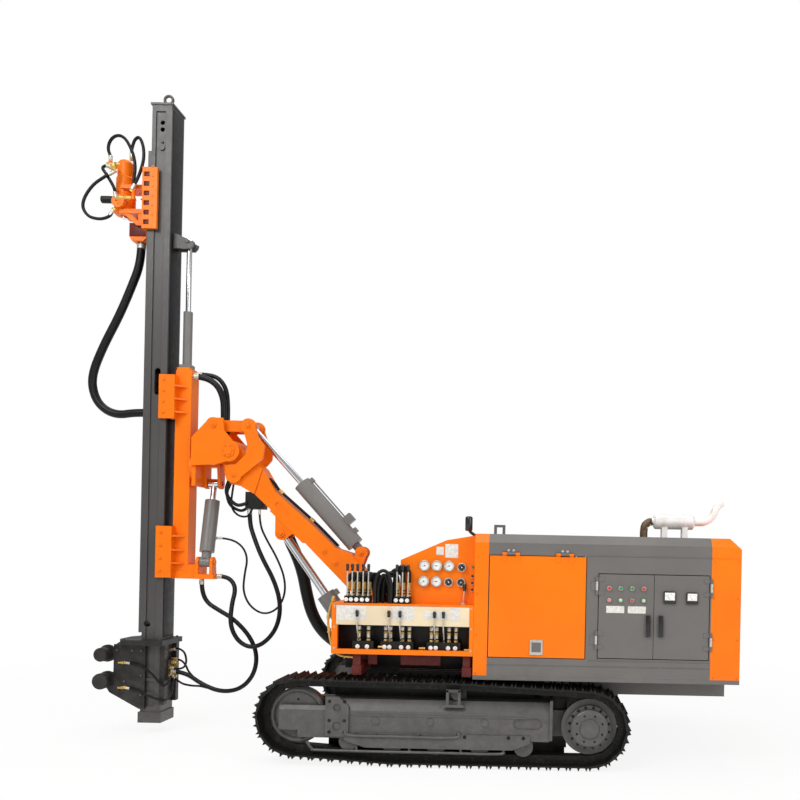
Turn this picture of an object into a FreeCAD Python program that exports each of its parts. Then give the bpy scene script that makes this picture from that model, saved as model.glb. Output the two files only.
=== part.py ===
"""Crawler drilling rig: tracked carrier with a hood, a console, a lifting boom and a sliding drill mast.

Millimetres. +Z is up, the mast stands at -X, the hood's tail is at +X and the console is on the -Y side.
The origin lies on the ground under the middle of the machine. Sizes along X are measured from the middle
of the tracks, and every piece adds mid_x, which moves them to the middle of the whole machine.
"""
import FreeCAD, Part
import math
import os
import re
from types import SimpleNamespace

import Sketcher

Vector = FreeCAD.Vector
Rotation = FreeCAD.Rotation
Placement = FreeCAD.Placement

doc = FreeCAD.newDocument("DrillingRig")

# Driving sizes: alias, value in millimetres (or degrees, or a count), what it is
SIZES = [
    ("mid_x", 390, "middle of the tracks, from the middle of the whole machine"),
    # Tracks
    ("track_y", 900, "middle of one track, from the machine's centre plane"),
    ("shoe_width", 300, "track shoe across the track"),
    ("shoe_count", 42, "shoes in one track"),
    ("sprocket_x", 1022, "drive sprocket axle"),
    ("sprocket_z", 280, "drive sprocket axle height"),
    ("idler_x", -972, "front idler axle"),
    ("idler_z", 322, "front idler axle height"),
    ("carrier_x", 110, "carrier roller that holds up the top run"),
    ("top_run_z", 597, "grouser tips over the carrier roller"),
    ("wrap_radius", 280, "grouser tips around sprocket and idler"),
    ("bend_radius", 300, "slight bends of the track over the carrier and under the first rollers"),
    ("grouser_height", 22, "grouser bar on a shoe"),
    ("shoe_thick", 10, "shoe plate"),
    ("chain_height", 50, "track chain under the shoe plate"),
    ("chain_width", 92, "track chain across the track"),
    ("chord_drop", 7.2, "how far a straight chain link cuts inside the round of its wheel"),
    ("first_roller_lift", 19,
     "first bottom roller, higher than the others because the track rises to the idler"),
    ("roller_first_x", -617, "first bottom roller"),
    ("roller_pitch", 298, "bottom roller to bottom roller"),
    ("roller_count", 5, "bottom rollers on one side"),
    ("rest_gap", 0.3, "running gap between pieces that rest on each other"),
    ("frame_front_x", -1090, "track frame, front end"),
    ("frame_rear_x", 751, "track frame, rear end"),
    ("frame_bottom_z", 228, "track frame box, underside"),
    ("frame_ridge_z", 368, "track frame, edge where the top slope starts"),
    ("frame_top_z", 440, "track frame, top"),
    ("frame_skirt_z", 180, "guard plates beside the bottom rollers, lower edge"),
    ("frame_depth", 215, "track frame, across"),
    ("frame_in_y", 770, "track frame, inner face"),
    ("axle_low_z", 250, "cross members, underside"),
    ("roller_shaft_r", 18, "bottom roller shaft"),
    # Chassis
    ("sill_y", 700, "chassis deck, half width between the tracks"),
    ("deck_z", 612, "chassis deck, top"),
    ("deck_bottom_z", 470, "chassis deck, underside"),
    ("belly_y", 400, "chassis belly box, half width"),
    ("belly_z", 190, "chassis belly box, underside"),
    ("belly_front_x", -330, "chassis belly box, front"),
    ("belly_rear_x", 1260, "chassis belly box, rear"),
    # Hood
    ("hood_y", 1000, "hood, half width"),
    ("wall", 30, "hood wall and door, whole thickness"),
    ("hood_z", 626, "hood, lower edge"),
    ("hood_front_x", 221, "hood, front face"),
    ("post_x", 316, "rear edge of the orange front cap"),
    ("rear_cap_long", 201, "orange rear cap, along the hood"),
    ("hood_rear_x", 2030, "hood, rear face"),
    ("hood_rail_z", 597, "rails under the hood's edges, underside"),
    ("hinge_r", 9, "door hinge knuckle"),
    ("hinge_long", 60, "door hinge knuckle on the hood side"),
    ("eaves_z", 1527, "where the sides turn in to the roof"),
    ("roof_z", 1588, "hood roof"),
    ("eaves_inset", 60, "how far the sloped eaves come in"),
    ("tail_chamfer_x", 70, "sloped rear top edge, along"),
    ("tail_chamfer_z", 76, "sloped rear top edge, down"),
    ("hatch_rear_x", 982, "side hatch, rear edge"),
    ("hatch_z", 749, "side hatch, lower edge"),
    ("hatch_top_z", 1446, "side hatch, top edge"),
    ("cabinet_front_x", 1061, "switch cabinet opening, front edge"),
    ("cabinet_rear_x", 1820, "switch cabinet opening, rear edge"),
    ("cabinet_z", 756, "switch cabinet opening, lower edge"),
    ("cabinet_top_z", 1335, "switch cabinet opening, top edge"),
    ("cabinet_depth", 190, "switch cabinet, front to back"),
    ("door_gap", 5, "gap around a door"),
    # Console
    ("console_front_x", -741, "console box, front end"),
    ("console_y", 1000, "console box, outer face"),
    ("console_depth", 380, "console box, across"),
    ("console_z", 753, "console box, underside"),
    ("console_top_z", 1099, "console box, top"),
    ("console_panel_z", 950, "lower edge of the blank panel on the console box"),
    ("sheet", 12, "console sheet metal with its folds"),
    ("console_fold", 27, "console box, folded edges around its front"),
    ("console_post", 40, "console box, front post"),
    ("console_lip", 34, "console box, lower front lip"),
    ("dash_x", -297, "gauge housing, front end"),
    ("dash_y", 900, "gauge housing, outer face"),
    ("dash_low_z", 1396, "gauge housing, top at its front end"),
    ("dash_knee_x", 16, "gauge housing, where the top slope eases"),
    ("dash_knee_z", 1538, "gauge housing, top at the knee"),
    # Boom swing
    ("swing_x", -480, "boom swing axis"),
    ("post_r", 65, "boom swing post"),
    ("hub_r", 95, "tube of the swing bracket around the post"),
    ("cheek_y", 95, "swing bracket cheek, inner face"),
    ("cheek_thick", 28, "swing bracket cheek"),
    ("turn_foot_x", 80, "boom swing ram foot pin on the deck"),
    ("turn_foot_y", 330, "boom swing ram foot pin on the deck"),
    ("turn_head_back", 60, "boom swing ram head pin, ahead of the swing axis"),
    ("turn_head_y", 190, "boom swing ram head pin, beside the swing axis"),
    ("turn_z", 700, "boom swing ram, height"),
    # Boom and its pins
    ("boom_x", -635, "boom foot pin"),
    ("boom_z", 1060, "boom foot pin"),
    ("boom_foot_r", 90, "round end of the boom around its foot pin"),
    ("boom_half", 80, "boom, half width"),
    ("boom_wide_half", 90, "boom head and foot, half width"),
    ("tilt_x", -1769, "main tilt pin in the boom head"),
    ("tilt_z", 2202, "main tilt pin in the boom head"),
    ("rocker_x", -1734, "rocker pin in the boom head"),
    ("rocker_z", 2015, "rocker pin in the boom head"),
    ("crown_x", -1627, "pin of rocker, link and tilt ram"),
    ("crown_z", 2400, "pin of rocker, link and tilt ram"),
    ("link_x", -1890, "link pin in the tilt bracket"),
    ("link_z", 2400, "link pin in the tilt bracket"),
    ("tilt_foot_x", -744, "tilt ram foot pin on the boom"),
    ("tilt_foot_z", 1433, "tilt ram foot pin on the boom"),
    ("lift_foot_x", -685, "lift ram foot pin in the swing bracket"),
    ("lift_foot_z", 620, "lift ram foot pin in the swing bracket"),
    ("lift_head_x", -1367, "lift ram head pin under the boom"),
    ("lift_head_z", 1570, "lift ram head pin under the boom"),
    # Rams
    ("lift_barrel_r", 72, "lift ram barrel"),
    ("lift_barrel_long", 590, "lift ram barrel, from its foot pin"),
    ("lift_rod_r", 32, "lift ram rod"),
    ("lift_eye_r", 48, "lift ram eyes"),
    ("lift_eye_half", 44, "lift ram eyes, half width"),
    ("tilt_barrel_r", 68, "tilt ram barrel"),
    ("tilt_barrel_long", 725, "tilt ram barrel, from its foot pin"),
    ("tilt_rod_r", 24, "tilt ram rod"),
    ("tilt_eye_r", 40, "tilt ram eyes"),
    ("tilt_eye_half", 36, "tilt ram eyes, half width"),
    ("sway_barrel_r", 56, "mast sway ram barrel"),
    ("sway_barrel_long", 500, "mast sway ram barrel, from its foot pin"),
    ("sway_rod_r", 22, "mast sway ram rod"),
    ("sway_eye_r", 38, "sway ram eyes"),
    ("sway_eye_half", 38, "sway ram eyes, half width"),
    ("turn_barrel_r", 42, "boom swing ram barrel"),
    ("turn_barrel_long", 400, "boom swing ram barrel, from its foot pin"),
    ("turn_rod_r", 20, "boom swing ram rod"),
    ("turn_eye_r", 36, "boom swing ram eyes"),
    ("turn_eye_half", 25, "boom swing ram eyes, half width"),
    ("barrel_wall", 9, "wall of a ram barrel"),
    ("gland_long", 45, "gland in the end of a ram barrel"),
    ("neck_long", 44, "solid foot of a ram barrel beyond its eye"),
    ("gland_gap", 0.3, "rod in its gland, radial"),
    ("pin_r", 22, "small hinge pins"),
    ("big_pin_r", 32, "boom foot and main tilt pins"),
    ("pin_gap", 0.08, "hinge pin in its bore, radial"),
    # Tilt bracket and slide frame
    ("bracket_y", 130, "tilt bracket side plate, inner face"),
    ("bracket_thick", 22, "tilt bracket side plate"),
    ("bracket_x", -2055, "tilt bracket, front of its back plate"),
    ("hose_shelf_z", 2292, "shelf in the tilt bracket that holds the hoses"),
    ("rocker_y", 98, "rocker plate, inner face"),
    ("rocker_thick", 25, "rocker plate"),
    ("sway_z", 2070, "mast sway pin, along the machine"),
    ("sway_pin_r", 38, "mast sway pin"),
    ("sway_foot_y", -55, "sway ram foot pin"),
    ("sway_foot_z", 1334, "sway ram foot pin"),
    ("sway_head_y", 95, "sway ram head pin"),
    ("sway_head_z", 1960, "sway ram head pin"),
    ("sway_ram_x", -1960, "sway ram, middle"),
    ("column_front_x", -2215, "slide frame column, front face"),
    ("column_rear_x", -2093, "slide frame column, rear face"),
    ("column_half", 75, "slide frame column, half width"),
    ("column_z", 1260, "slide frame column, lower end"),
    ("column_top_z", 2830, "slide frame column, top end"),
    ("column_wall", 12, "slide frame column, wall"),
    ("guide_y", 121, "mast guide side plate, inner face"),
    ("guide_thick", 24, "mast guide side plate"),
    ("arm_rear_x", -1905, "arm at the foot of the slide frame, rear end"),
    # Mast
    ("mast_front_x", -2424, "mast, front face"),
    ("mast_rear_x", -2270, "mast, rear face"),
    ("mast_half", 115, "mast, half width"),
    ("mast_wall", 8, "mast, wall"),
    ("mast_recess", 12, "recess in the mast's sides between its flanges"),
    ("mast_flange", 30, "mast, front flange strip along X"),
    ("mast_strip", 48, "mast, rear strip the guides run on"),
    ("foot_x", -2438, "mast foot block, front face"),
    ("foot_top_z", 163, "mast foot block, top of its side plates"),
    ("mast_z", 144, "mast, lower end"),
    ("mast_top_z", 4880, "mast, top end"),
    ("rail_x", -2449, "feed rail, front face"),
    ("rail_z", 780, "feed rail, lower end"),
    ("rail_top_z", 4520, "feed rail, top end"),
    ("eye_ring_r", 32, "eye bolt ring, to the middle of its bar"),
    ("eye_ring_thick", 11, "eye bolt ring, bar radius"),
    ("slide_ram_x", -2160, "mast slide ram, axis"),
    ("slide_barrel_r", 35, "mast slide ram barrel"),
    ("slide_rod_r", 20, "mast slide ram rod"),
    ("slide_gland_z", 3302, "mast slide ram, top of its barrel"),
    ("slide_eye_z", 3850, "mast slide ram, pin of its rod"),
    ("slide_eye_r", 30, "mast slide ram, eye of its rod"),
    # Rod clamp at the mast's foot
    ("rod_x", -2677, "drill rod axis"),
    ("clamp_z", 685, "clamp table, underside"),
    ("clamp_table_thick", 40, "clamp table"),
    ("clamp_bore_r", 60, "passage for the drill rod"),
    ("upper_ram_z", 615, "upper clamp ram"),
    ("upper_ram_r", 53, "upper clamp ram"),
    ("lower_ram_z", 411, "lower clamp ram"),
    ("lower_ram_r", 61, "lower clamp ram"),
    ("clamp_ram_y", 250, "clamp ram, outer end"),
    ("guide_ring_z", 352, "rod guide ring, lower face"),
    ("guide_ring_thick", 32, "rod guide ring"),
    ("guide_ring_r", 66, "rod guide ring and ram bosses, outer radius"),
    ("guide_bore_r", 50, "rod guide ring, bore"),
    ("manifold_x", -2225, "hose manifold behind the mast, rear face"),
    # Rotary head
    ("head_z", 3908, "head carriage, lower end"),
    ("head_top_z", 4381, "head carriage, top end"),
    ("head_rear_x", -2361, "head carriage cheeks, rear edge"),
    ("head_front_x", -2477, "head carriage, front face"),
    ("head_cheek", 28, "head carriage cheek"),
    ("motor_r", 59, "rotation motor"),
    ("motor_z", 4350, "rotation motor, underside"),
    ("motor_top_z", 4487, "rotation motor, top"),
    ("gearcase_r", 78, "gear case of the rotary head"),
    ("gearcase_z", 4050, "gear case, underside"),
    ("port_z", 4126, "side port of the gear case"),
    ("hose_box_z", 3838, "hose box under the head, lower end"),
    ("loop_start_z", 4465, "fitting of the head hose at the motor"),
    ("loop_end_z", 4215, "fitting of the head hose at the gear case"),
    ("spindle_r", 30, "drill spindle"),
    ("spindle_z", 4030, "drill spindle, lower end"),
    # Exhaust
    ("silencer_x", 1645, "silencer, middle"),
    ("silencer_y", -420, "silencer, middle"),
    ("silencer_z", 1712, "silencer, axis height"),
    ("silencer_r", 55, "silencer"),
    ("silencer_long", 300, "silencer"),
    ("tailpipe_r", 27, "tailpipe"),
]

sheet = doc.addObject("Spreadsheet::Sheet", "Sizes")
for row, (alias, value, meaning) in enumerate(SIZES, start=1):
    sheet.set(f"A{row}", meaning)
    sheet.set(f"B{row}", str(value))
    sheet.setAlias(f"B{row}", alias)
doc.recompute()
S = SimpleNamespace(**{alias: float(sheet.get(alias)) for alias, value, meaning in SIZES})

NAMES = {alias for alias, value, meaning in SIZES}
NODES = {}
counter = [0]


def linked(text):
    """An expression on the sheet's cells, from text that names them plainly."""
    return re.sub(r"[a-z_][a-z_0-9]*", lambda m: "Sizes." + m[0] if m[0] in NAMES else m[0], str(text))


def bind(thing, prop, text):
    thing.setExpression(prop, linked(text))


def fresh(kind, word):
    counter[0] += 1
    return doc.addObject(kind, f"{word}{counter[0]}")


def put(thing, x="0", y="0", z="0"):
    """Place a thing by expressions; x counts from the middle of the tracks."""
    bind(thing, "Placement.Base.x", f"{x} + mid_x")
    bind(thing, "Placement.Base.y", y)
    bind(thing, "Placement.Base.z", z)
    return thing


def block(x, y, z):
    """A box between two places along each axis."""
    made = fresh("Part::Box", "Block")
    for prop, (low, high) in (("Length", x), ("Width", y), ("Height", z)):
        bind(made, prop, f"({high}) - ({low})")
    return put(made, x[0], y[0], z[0])


AXES = {"x": (Vector(0, 1, 0), 90), "y": (Vector(1, 0, 0), -90), "z": (Vector(0, 0, 1), 0)}


def round_bar(axis, radius, span, at):
    """A cylinder along one axis; at holds its two other coordinates, in x, y, z order."""
    made = fresh("Part::Cylinder", "Round")
    made.Placement = Placement(Vector(), Rotation(*AXES[axis]))
    bind(made, "Radius", radius)
    bind(made, "Height", f"({span[1]}) - ({span[0]})")
    low = list(at)
    low.insert("xyz".index(axis), span[0])
    return put(made, *low)


def plane_of(body, role):
    return [feature for feature in body.Origin.OriginFeatures if feature.Role == role][0]


def drawn(body, role, outline=(), circles=()):
    """A sketch on one of the body's own planes, every corner and centre tied to the sheet."""
    sketch = body.newObject("Sketcher::SketchObject", f"{body.Name}Sketch")
    sketch.AttachmentSupport = [(plane_of(body, role), "")]
    sketch.MapMode = "FlatFace"
    count = len(outline)
    ring = [Vector(math.cos(2 * math.pi * i / max(count, 1)), math.sin(2 * math.pi * i / max(count, 1)), 0)
            for i in range(count)]
    for i in range(count):
        sketch.addGeometry(Part.LineSegment(ring[i], ring[(i + 1) % count]), False)
    for i in range(count):
        sketch.addConstraint(Sketcher.Constraint("Coincident", i, 2, (i + 1) % count, 1))
    for i, (across, up) in enumerate(outline):
        for kind, text, start in (("DistanceX", across, ring[i].x), ("DistanceY", up, ring[i].y)):
            place = sketch.addConstraint(Sketcher.Constraint(kind, -1, 1, i, 1, start))
            bind(sketch, f"Constraints[{place}]", text)
    for i, (across, up, radius) in enumerate(circles):
        sketch.addGeometry(Part.Circle(Vector(1, 1, 0), Vector(0, 0, 1), 1), False)
        for kind, text in (("DistanceX", across), ("DistanceY", up)):
            place = sketch.addConstraint(Sketcher.Constraint(kind, -1, 1, count + i, 3, 1.0))
            bind(sketch, f"Constraints[{place}]", text)
        place = sketch.addConstraint(Sketcher.Constraint("Radius", count + i, 1.0))
        bind(sketch, f"Constraints[{place}]", radius)
    return sketch


PLANES = {"y": "XZ_Plane", "z": "XY_Plane", "x": "YZ_Plane"}


def plate(axis, outline, span, discs=(), holes=(), inner=()):
    """A flat piece: its outline is drawn across one axis and padded over a span along it.

    discs are round ends added to it, holes are bored through it, inner is a cut-out's outline.
    Outlines across y give x, z; across z give x, y; across x give y, z.
    """
    body = fresh("PartDesign::Body", "Plate")
    length = f"({span[1]}) - ({span[0]})"
    loops = ([{"outline": outline}] if outline else []) + [{"circles": [disc]} for disc in discs]
    for loop in loops:
        pad = body.newObject("PartDesign::Pad", f"{body.Name}Pad")
        pad.Profile = (drawn(body, PLANES[axis], **loop), [""])
        bind(pad, "Length", length)
    cuts = ([{"outline": inner}] if inner else []) + ([{"circles": list(holes)}] if holes else [])
    for loop in cuts:
        pocket = body.newObject("PartDesign::Pocket", f"{body.Name}Pocket")
        pocket.Profile = (drawn(body, PLANES[axis], **loop), [""])
        pocket.Type = "ThroughAll"
        pocket.Midplane = True
    base = {"x": (span[0], "0", "0"), "y": ("0", span[1], "0"), "z": ("0", "0", span[0])}[axis]
    return put(body, *base)


def turned(axis, profile, at):
    """A body of revolution; profile gives places along the axis and radii, and ends on the axis by itself."""
    body = fresh("PartDesign::Body", "Turned")
    sketch = drawn(body, "XY_Plane", [(profile[0][0], "0")] + list(profile) + [(profile[-1][0], "0")])
    spun = body.newObject("PartDesign::Revolution", f"{body.Name}Spun")
    spun.Profile = (sketch, [""])
    spun.ReferenceAxis = (sketch, ["H_Axis"])
    spun.Angle = 360
    turn = {"x": (Vector(0, 0, 1), 0), "y": (Vector(0, 0, 1), 90), "z": (Vector(0, 1, 0), -90)}[axis]
    body.Placement = Placement(Vector(), Rotation(*turn))
    at = list(at)
    at.insert("xyz".index(axis), "0")
    return put(body, *at)


def fused(pieces):
    made = fresh("Part::MultiFuse", "Fused")
    made.Shapes = list(pieces)
    return made


def cut(base, tool):
    made = fresh("Part::Cut", "Cut")
    made.Base = base
    made.Tool = tool
    return made


def common(first, second):
    made = fresh("Part::MultiCommon", "Common")
    made.Shapes = [first, second]
    return made


def group(pieces):
    made = fresh("Part::Compound", "Group")
    made.Links = list(pieces)
    return made


def solid_feature(shape):
    made = fresh("Part::Feature", "Made")
    made.Shape = shape
    return made


def node(label, thing):
    thing.Label = label
    NODES[label] = thing
    return thing


def sided(side, low, high):
    """The span between two distances from the centre plane, on the left (-1) or right (1) side."""
    if side > 0:
        return (low, high)
    return (f"-({high})", f"-({low})")


SIDES = ((-1, "left"), (1, "right"))


# Tracks
def tangent_hull(circles):
    """Straight runs and arcs of a belt around circles (x, z, radius) listed anticlockwise, seen from -Y."""
    runs = []
    for (ax, az, ar), (bx, bz, br) in zip(circles, circles[1:] + circles[:1]):
        dx, dz = bx - ax, bz - az
        distance = math.hypot(dx, dz)
        heading = math.atan2(dz, dx)
        lean = math.asin((ar - br) / distance)
        normal = heading - math.pi / 2 + lean
        runs.append(((ax + ar * math.cos(normal), az + ar * math.sin(normal)),
                     (bx + br * math.cos(normal), bz + br * math.sin(normal)), normal))
    return runs


def belt_path(inset):
    """The track's loop as lines and arcs, inset from the grouser tips, and its whole length."""
    circles = [
        (S.idler_x, S.idler_z, S.wrap_radius - inset),
        (S.roller_first_x + S.roller_pitch, S.bend_radius, S.bend_radius - inset),
        (S.sprocket_x, S.sprocket_z, S.wrap_radius - inset),
        (S.carrier_x, S.top_run_z - S.bend_radius, S.bend_radius - inset),
    ]
    runs = tangent_hull(circles)
    path = []
    for index, (start, end, normal) in enumerate(runs):
        length = math.hypot(end[0] - start[0], end[1] - start[1])
        path.append(("line", start, end, normal, length))
        centre_x, centre_z, radius = circles[(index + 1) % len(circles)]
        following = runs[(index + 1) % len(runs)][2]
        turn = (following - normal) % (2 * math.pi)
        path.append(("arc", (centre_x, centre_z), radius, normal, abs(turn * radius)))
    total = sum(part[4] for part in path)
    return path, total


def along(path, distance):
    """The point at a distance along the loop, and the outward direction there."""
    for kind, first, second, normal, length in path:
        if distance <= length or (kind, first, second, normal, length) == path[-1]:
            if kind == "line":
                share = distance / length
                return (first[0] + (second[0] - first[0]) * share,
                        first[1] + (second[1] - first[1]) * share, normal)
            angle = normal + distance / second
            return (first[0] + second * math.cos(angle), first[1] + second * math.sin(angle), angle)
        distance -= length


def track_shape():
    """One track: shoe plates with three grouser bars each around the loop, and the chain under them."""
    path, total = belt_path(S.grouser_height)
    count = int(S.shoe_count)
    pitch = total / count
    # Across one shoe: share of its pitch, height over the shoe plate
    tooth = [(0.03, 0.0), (0.10, 1.0), (0.18, 0.0), (0.45, 0.0), (0.52, 1.0), (0.60, 0.0), (0.85, 0.0),
             (0.92, 1.0), (0.99, 0.0)]
    outer = []
    for shoe in range(count):
        for share, height in tooth:
            x, z, angle = along(path, (shoe + share) * pitch)
            rise = height * S.grouser_height
            outer.append(Vector(x + rise * math.cos(angle), 0, z + rise * math.sin(angle)))
    inner = []
    for shoe in range(count):
        x, z, angle = along(path, (shoe + 0.01) * pitch)
        inner.append(Vector(x - S.shoe_thick * math.cos(angle), 0, z - S.shoe_thick * math.sin(angle)))
    deep = []
    for shoe in range(count):
        x, z, angle = along(path, (shoe + 0.01) * pitch)
        drop = S.shoe_thick + S.chain_height
        deep.append(Vector(x - drop * math.cos(angle), 0, z - drop * math.sin(angle)))

    def ring(outside, inside, width):
        loops = [Part.makePolygon(points + points[:1]) for points in (outside, inside)]
        solid = Part.makeFace(loops, "Part::FaceMakerBullseye").extrude(Vector(0, width, 0))
        solid.translate(Vector(0, -width / 2, 0))
        return solid

    shoes = ring(outer, inner, S.shoe_width)
    chain = ring(inner, deep, S.chain_width)
    return shoes.fuse(chain).removeSplitter()


track = track_shape()
for side, word in SIDES:
    loop = solid_feature(track)
    loop.Placement = Placement(Vector(S.mid_x, side * S.track_y, 0), Rotation())
    node(f"track_{word}", loop)

# Track frames
FRAME_OUT = "frame_in_y + frame_depth"
for side, word in SIDES:
    section = [("frame_in_y", "frame_bottom_z"), (FRAME_OUT, "frame_bottom_z"), (FRAME_OUT, "frame_ridge_z"),
               (f"{FRAME_OUT} - 50", "frame_top_z"), ("frame_in_y", "frame_top_z")]
    beam = plate("x", [(f"{side} * ({y})", z) for y, z in section], ("frame_front_x", "frame_rear_x"))
    fork = block(("frame_front_x - 5", "idler_x + wrap_radius - 60"),
                 sided(side, "track_y - 65", "track_y + 65"),
                 ("frame_bottom_z - 5", "frame_top_z + 5"))
    slot = plate("y", [("541", "262"), ("663", "262"), ("663", "336"), ("541", "336")],
                 sided(side, f"{FRAME_OUT} - 12", f"{FRAME_OUT} + 1"),
                 discs=[("541", "299", "37"), ("663", "299", "37")])
    beam = cut(beam, fused([fork, slot]))
    skirts = [block(("frame_front_x + 130", "frame_rear_x"), sided(side, low, high),
                    ("frame_skirt_z", "frame_bottom_z + 1"))
              for low, high in (("frame_in_y", "frame_in_y + 12"), (f"{FRAME_OUT} - 12", FRAME_OUT))]
    guard = plate("y", [("-640", "frame_skirt_z - 12"), ("-500", "120"), ("500", "120"),
                        ("620", "frame_skirt_z - 12"),
                        ("620", "frame_skirt_z + 40"), ("-640", "frame_skirt_z + 40")],
                  sided(side, FRAME_OUT, f"{FRAME_OUT} + 12"))
    end_plate = block(("frame_rear_x", "frame_rear_x + 20"), sided(side, "frame_in_y", f"{FRAME_OUT} + 12"),
                      ("frame_skirt_z + 10", "frame_top_z + 20"))
    arm = block(("frame_rear_x + 19", "sprocket_x"), sided(side, "frame_in_y", "track_y - 75"),
                ("sprocket_z - 90", "sprocket_z + 90"))
    front_plate = plate("y", [("-770", "192"), ("-612", "192"), ("-612", "400"), ("-680", "461"),
                              ("-770", "461")],
                        sided(side, f"{FRAME_OUT} - 1", f"{FRAME_OUT} + 18"))
    front_holes = [round_bar("y", radius, sided(side, f"{FRAME_OUT} + 6", f"{FRAME_OUT} + 20"), ("-691", z))
                   for radius, z in (("26", "388"), ("30", "262"))]
    # Round bosses on the beam's side: x, z, radius
    bosses = [round_bar("y", radius, sided(side, f"{FRAME_OUT} - 1", f"{FRAME_OUT} + 8"), (x, z))
              for x, z, radius in (("-430", "300", "24"), ("-60", "300", "24"), ("310", "300", "24"))]
    carrier_post = block(("carrier_x - 60", "carrier_x + 60"), sided(side, "frame_in_y + 10", "track_y - 60"),
                         ("frame_top_z - 1", "top_run_z - 80"))
    axles = [block(span, sided(side, "belly_y", "frame_in_y + 1"), ("axle_low_z", "frame_top_z - 20"))
             for span in (("-150", "150"), ("450", "700"))]
    node(f"track_frame_{word}", fused([beam, *skirts, guard, end_plate, arm, cut(front_plate,
                                                                                 fused(front_holes)), *bosses,
                                       carrier_post, *axles]))


# Rollers, idlers and sprockets
def outward(wheel, side):
    """Stand a turned wheel in the track of one side, its own axis pointing away from the machine."""
    centre = wheel.Placement.Base
    wheel.Placement = Placement(centre, Rotation(Vector(0, 0, 1), 90 * side))
    bind(wheel, "Placement.Base.y", f"{side} * track_y")
    return wheel


ROLLER_Z = "grouser_height + shoe_thick + chain_height + rest_gap + 56"
rollers = []
for side, word in SIDES:
    for index in range(int(S.roller_count)):
        x = f"roller_first_x + {index} * roller_pitch"
        # Places along the axle, radii: shaft ends in the guard plates, flanges, tread
        profile = [("-118 + rest_gap", "roller_shaft_r"), ("-66", "roller_shaft_r"), ("-66", "66"),
                   ("-50", "66"), ("-50", "56"),
                   ("50", "56"), ("50", "66"), ("66", "66"), ("66", "roller_shaft_r"),
                   ("73 - rest_gap", "roller_shaft_r")]
        lift = " + first_roller_lift" if index == 0 else ""
        rollers.append(outward(turned("y", profile, (x, ROLLER_Z + lift)), side))
    carrier = turned("y", [("-60 + rest_gap", "20"), ("-46", "20"), ("-46", "34"), ("46", "34"),
                           ("46", "20"), ("50", "20")],
                     ("carrier_x", "top_run_z - grouser_height - shoe_thick - chain_height - 1 - 34"))
    rollers.append(outward(carrier, side))
node("rollers", group(rollers))

IDLER_R = "wrap_radius - grouser_height - shoe_thick - chain_height - chord_drop"
idlers = []
sprockets = []
for side, word in SIDES:
    profile = [("-65 + rest_gap", "35"), ("-50", "35"), ("-50", f"{IDLER_R} - 14"), ("-40", IDLER_R),
               ("40", IDLER_R),
               ("50", f"{IDLER_R} - 14"), ("50", "165"), ("32", "150"), ("32", "62"), ("50", "56"),
               ("50", "35"),
               ("65 - rest_gap", "35")]
    idlers.append(outward(turned("y", profile, ("idler_x", "idler_z")), side))
    profile = [("-75 + rest_gap", "110"), ("-30", "110"), ("-30", IDLER_R), ("20", IDLER_R), ("20", "150"),
               ("60", "150"),
               ("60", "127"), ("105", "127"), ("112", "116"), ("112", "70"), ("120", "64")]
    sprockets.append(outward(turned("y", profile, ("sprocket_x", "sprocket_z")), side))
node("idlers", group(idlers))
node("sprockets", group(sprockets))

# Chassis
deck = cut(block(("belly_front_x", "hood_rear_x - 40"), ("-sill_y", "sill_y"), ("deck_bottom_z", "deck_z")),
           block(("belly_front_x + 200", "hood_rear_x - 90"), ("-sill_y + 60", "sill_y - 60"),
                 ("deck_bottom_z - 5", "deck_z - 20")))
belly = cut(block(("belly_front_x", "belly_rear_x"), ("-belly_y", "belly_y"), ("belly_z", "deck_bottom_z")),
            block(("belly_front_x + 40", "belly_rear_x - 40"), ("-belly_y + 30", "belly_y - 30"),
                  ("belly_z + 20", "deck_bottom_z + 5")))
nose = plate("z", [("belly_front_x + 1", "-180"), ("belly_front_x + 1", "180"),
                   ("swing_x - 20", "hub_r + 10"),
                   ("swing_x - 20", "-hub_r - 10")], ("deck_bottom_z - 90", "deck_bottom_z + 30"),
             discs=[("swing_x", "0", "hub_r + 12")])
post = round_bar("z", "post_r", ("deck_bottom_z + 29", "boom_z - 130"), ("swing_x", "0"))
turn_ear = fused([round_bar("z", "45", ("deck_z - 1", "turn_z - 25 - rest_gap"),
                            ("turn_foot_x", "turn_foot_y")),
                  round_bar("z", "pin_r", ("deck_z", "turn_z + 40"), ("turn_foot_x", "turn_foot_y"))])
outriggers = [block((low, high), sided(side, start, "hood_y - 20"), ("deck_z - 1", "deck_z + 60"))
              for low, high, start in (("-600", "-540", "495"), ("150", "210", "-1")) for side, word in SIDES]
hood_rails = [block(("hood_front_x", "hood_rear_x"), sided(side, "hood_y - 45", "hood_y"),
                    ("hood_rail_z", "hood_z"))
              for side, word in SIDES]
hood_rails += [block((f"{x} - 40", x), sided(side, "sill_y - 90", "hood_y - 2"), ("hood_rail_z", "hood_z"))
               for x in ("hood_front_x + 45", "cabinet_front_x", "hood_rear_x") for side, word in SIDES]
stringers = [block(("-660", "belly_front_x + 1"), (f"{y} - 25", f"{y} + 25"), ("deck_z - 60", "deck_z"))
             for y in ("-520", "520")]
node("base_frame", fused([deck, belly, nose, post, turn_ear, *outriggers, *hood_rails, *stringers]))


# Hood
CAP_X = "(hood_rear_x - rear_cap_long)"


def hood_section(inset):
    side = f"hood_y - {inset}"
    return [(f"-({side})", "hood_z - 1"), (side, "hood_z - 1"), (side, f"eaves_z - {inset} * 0.4"),
            (f"{side} - eaves_inset", f"roof_z - {inset}"), (f"-({side} - eaves_inset)", f"roof_z - {inset}"),
            (f"-({side})", f"eaves_z - {inset} * 0.4")]


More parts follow.
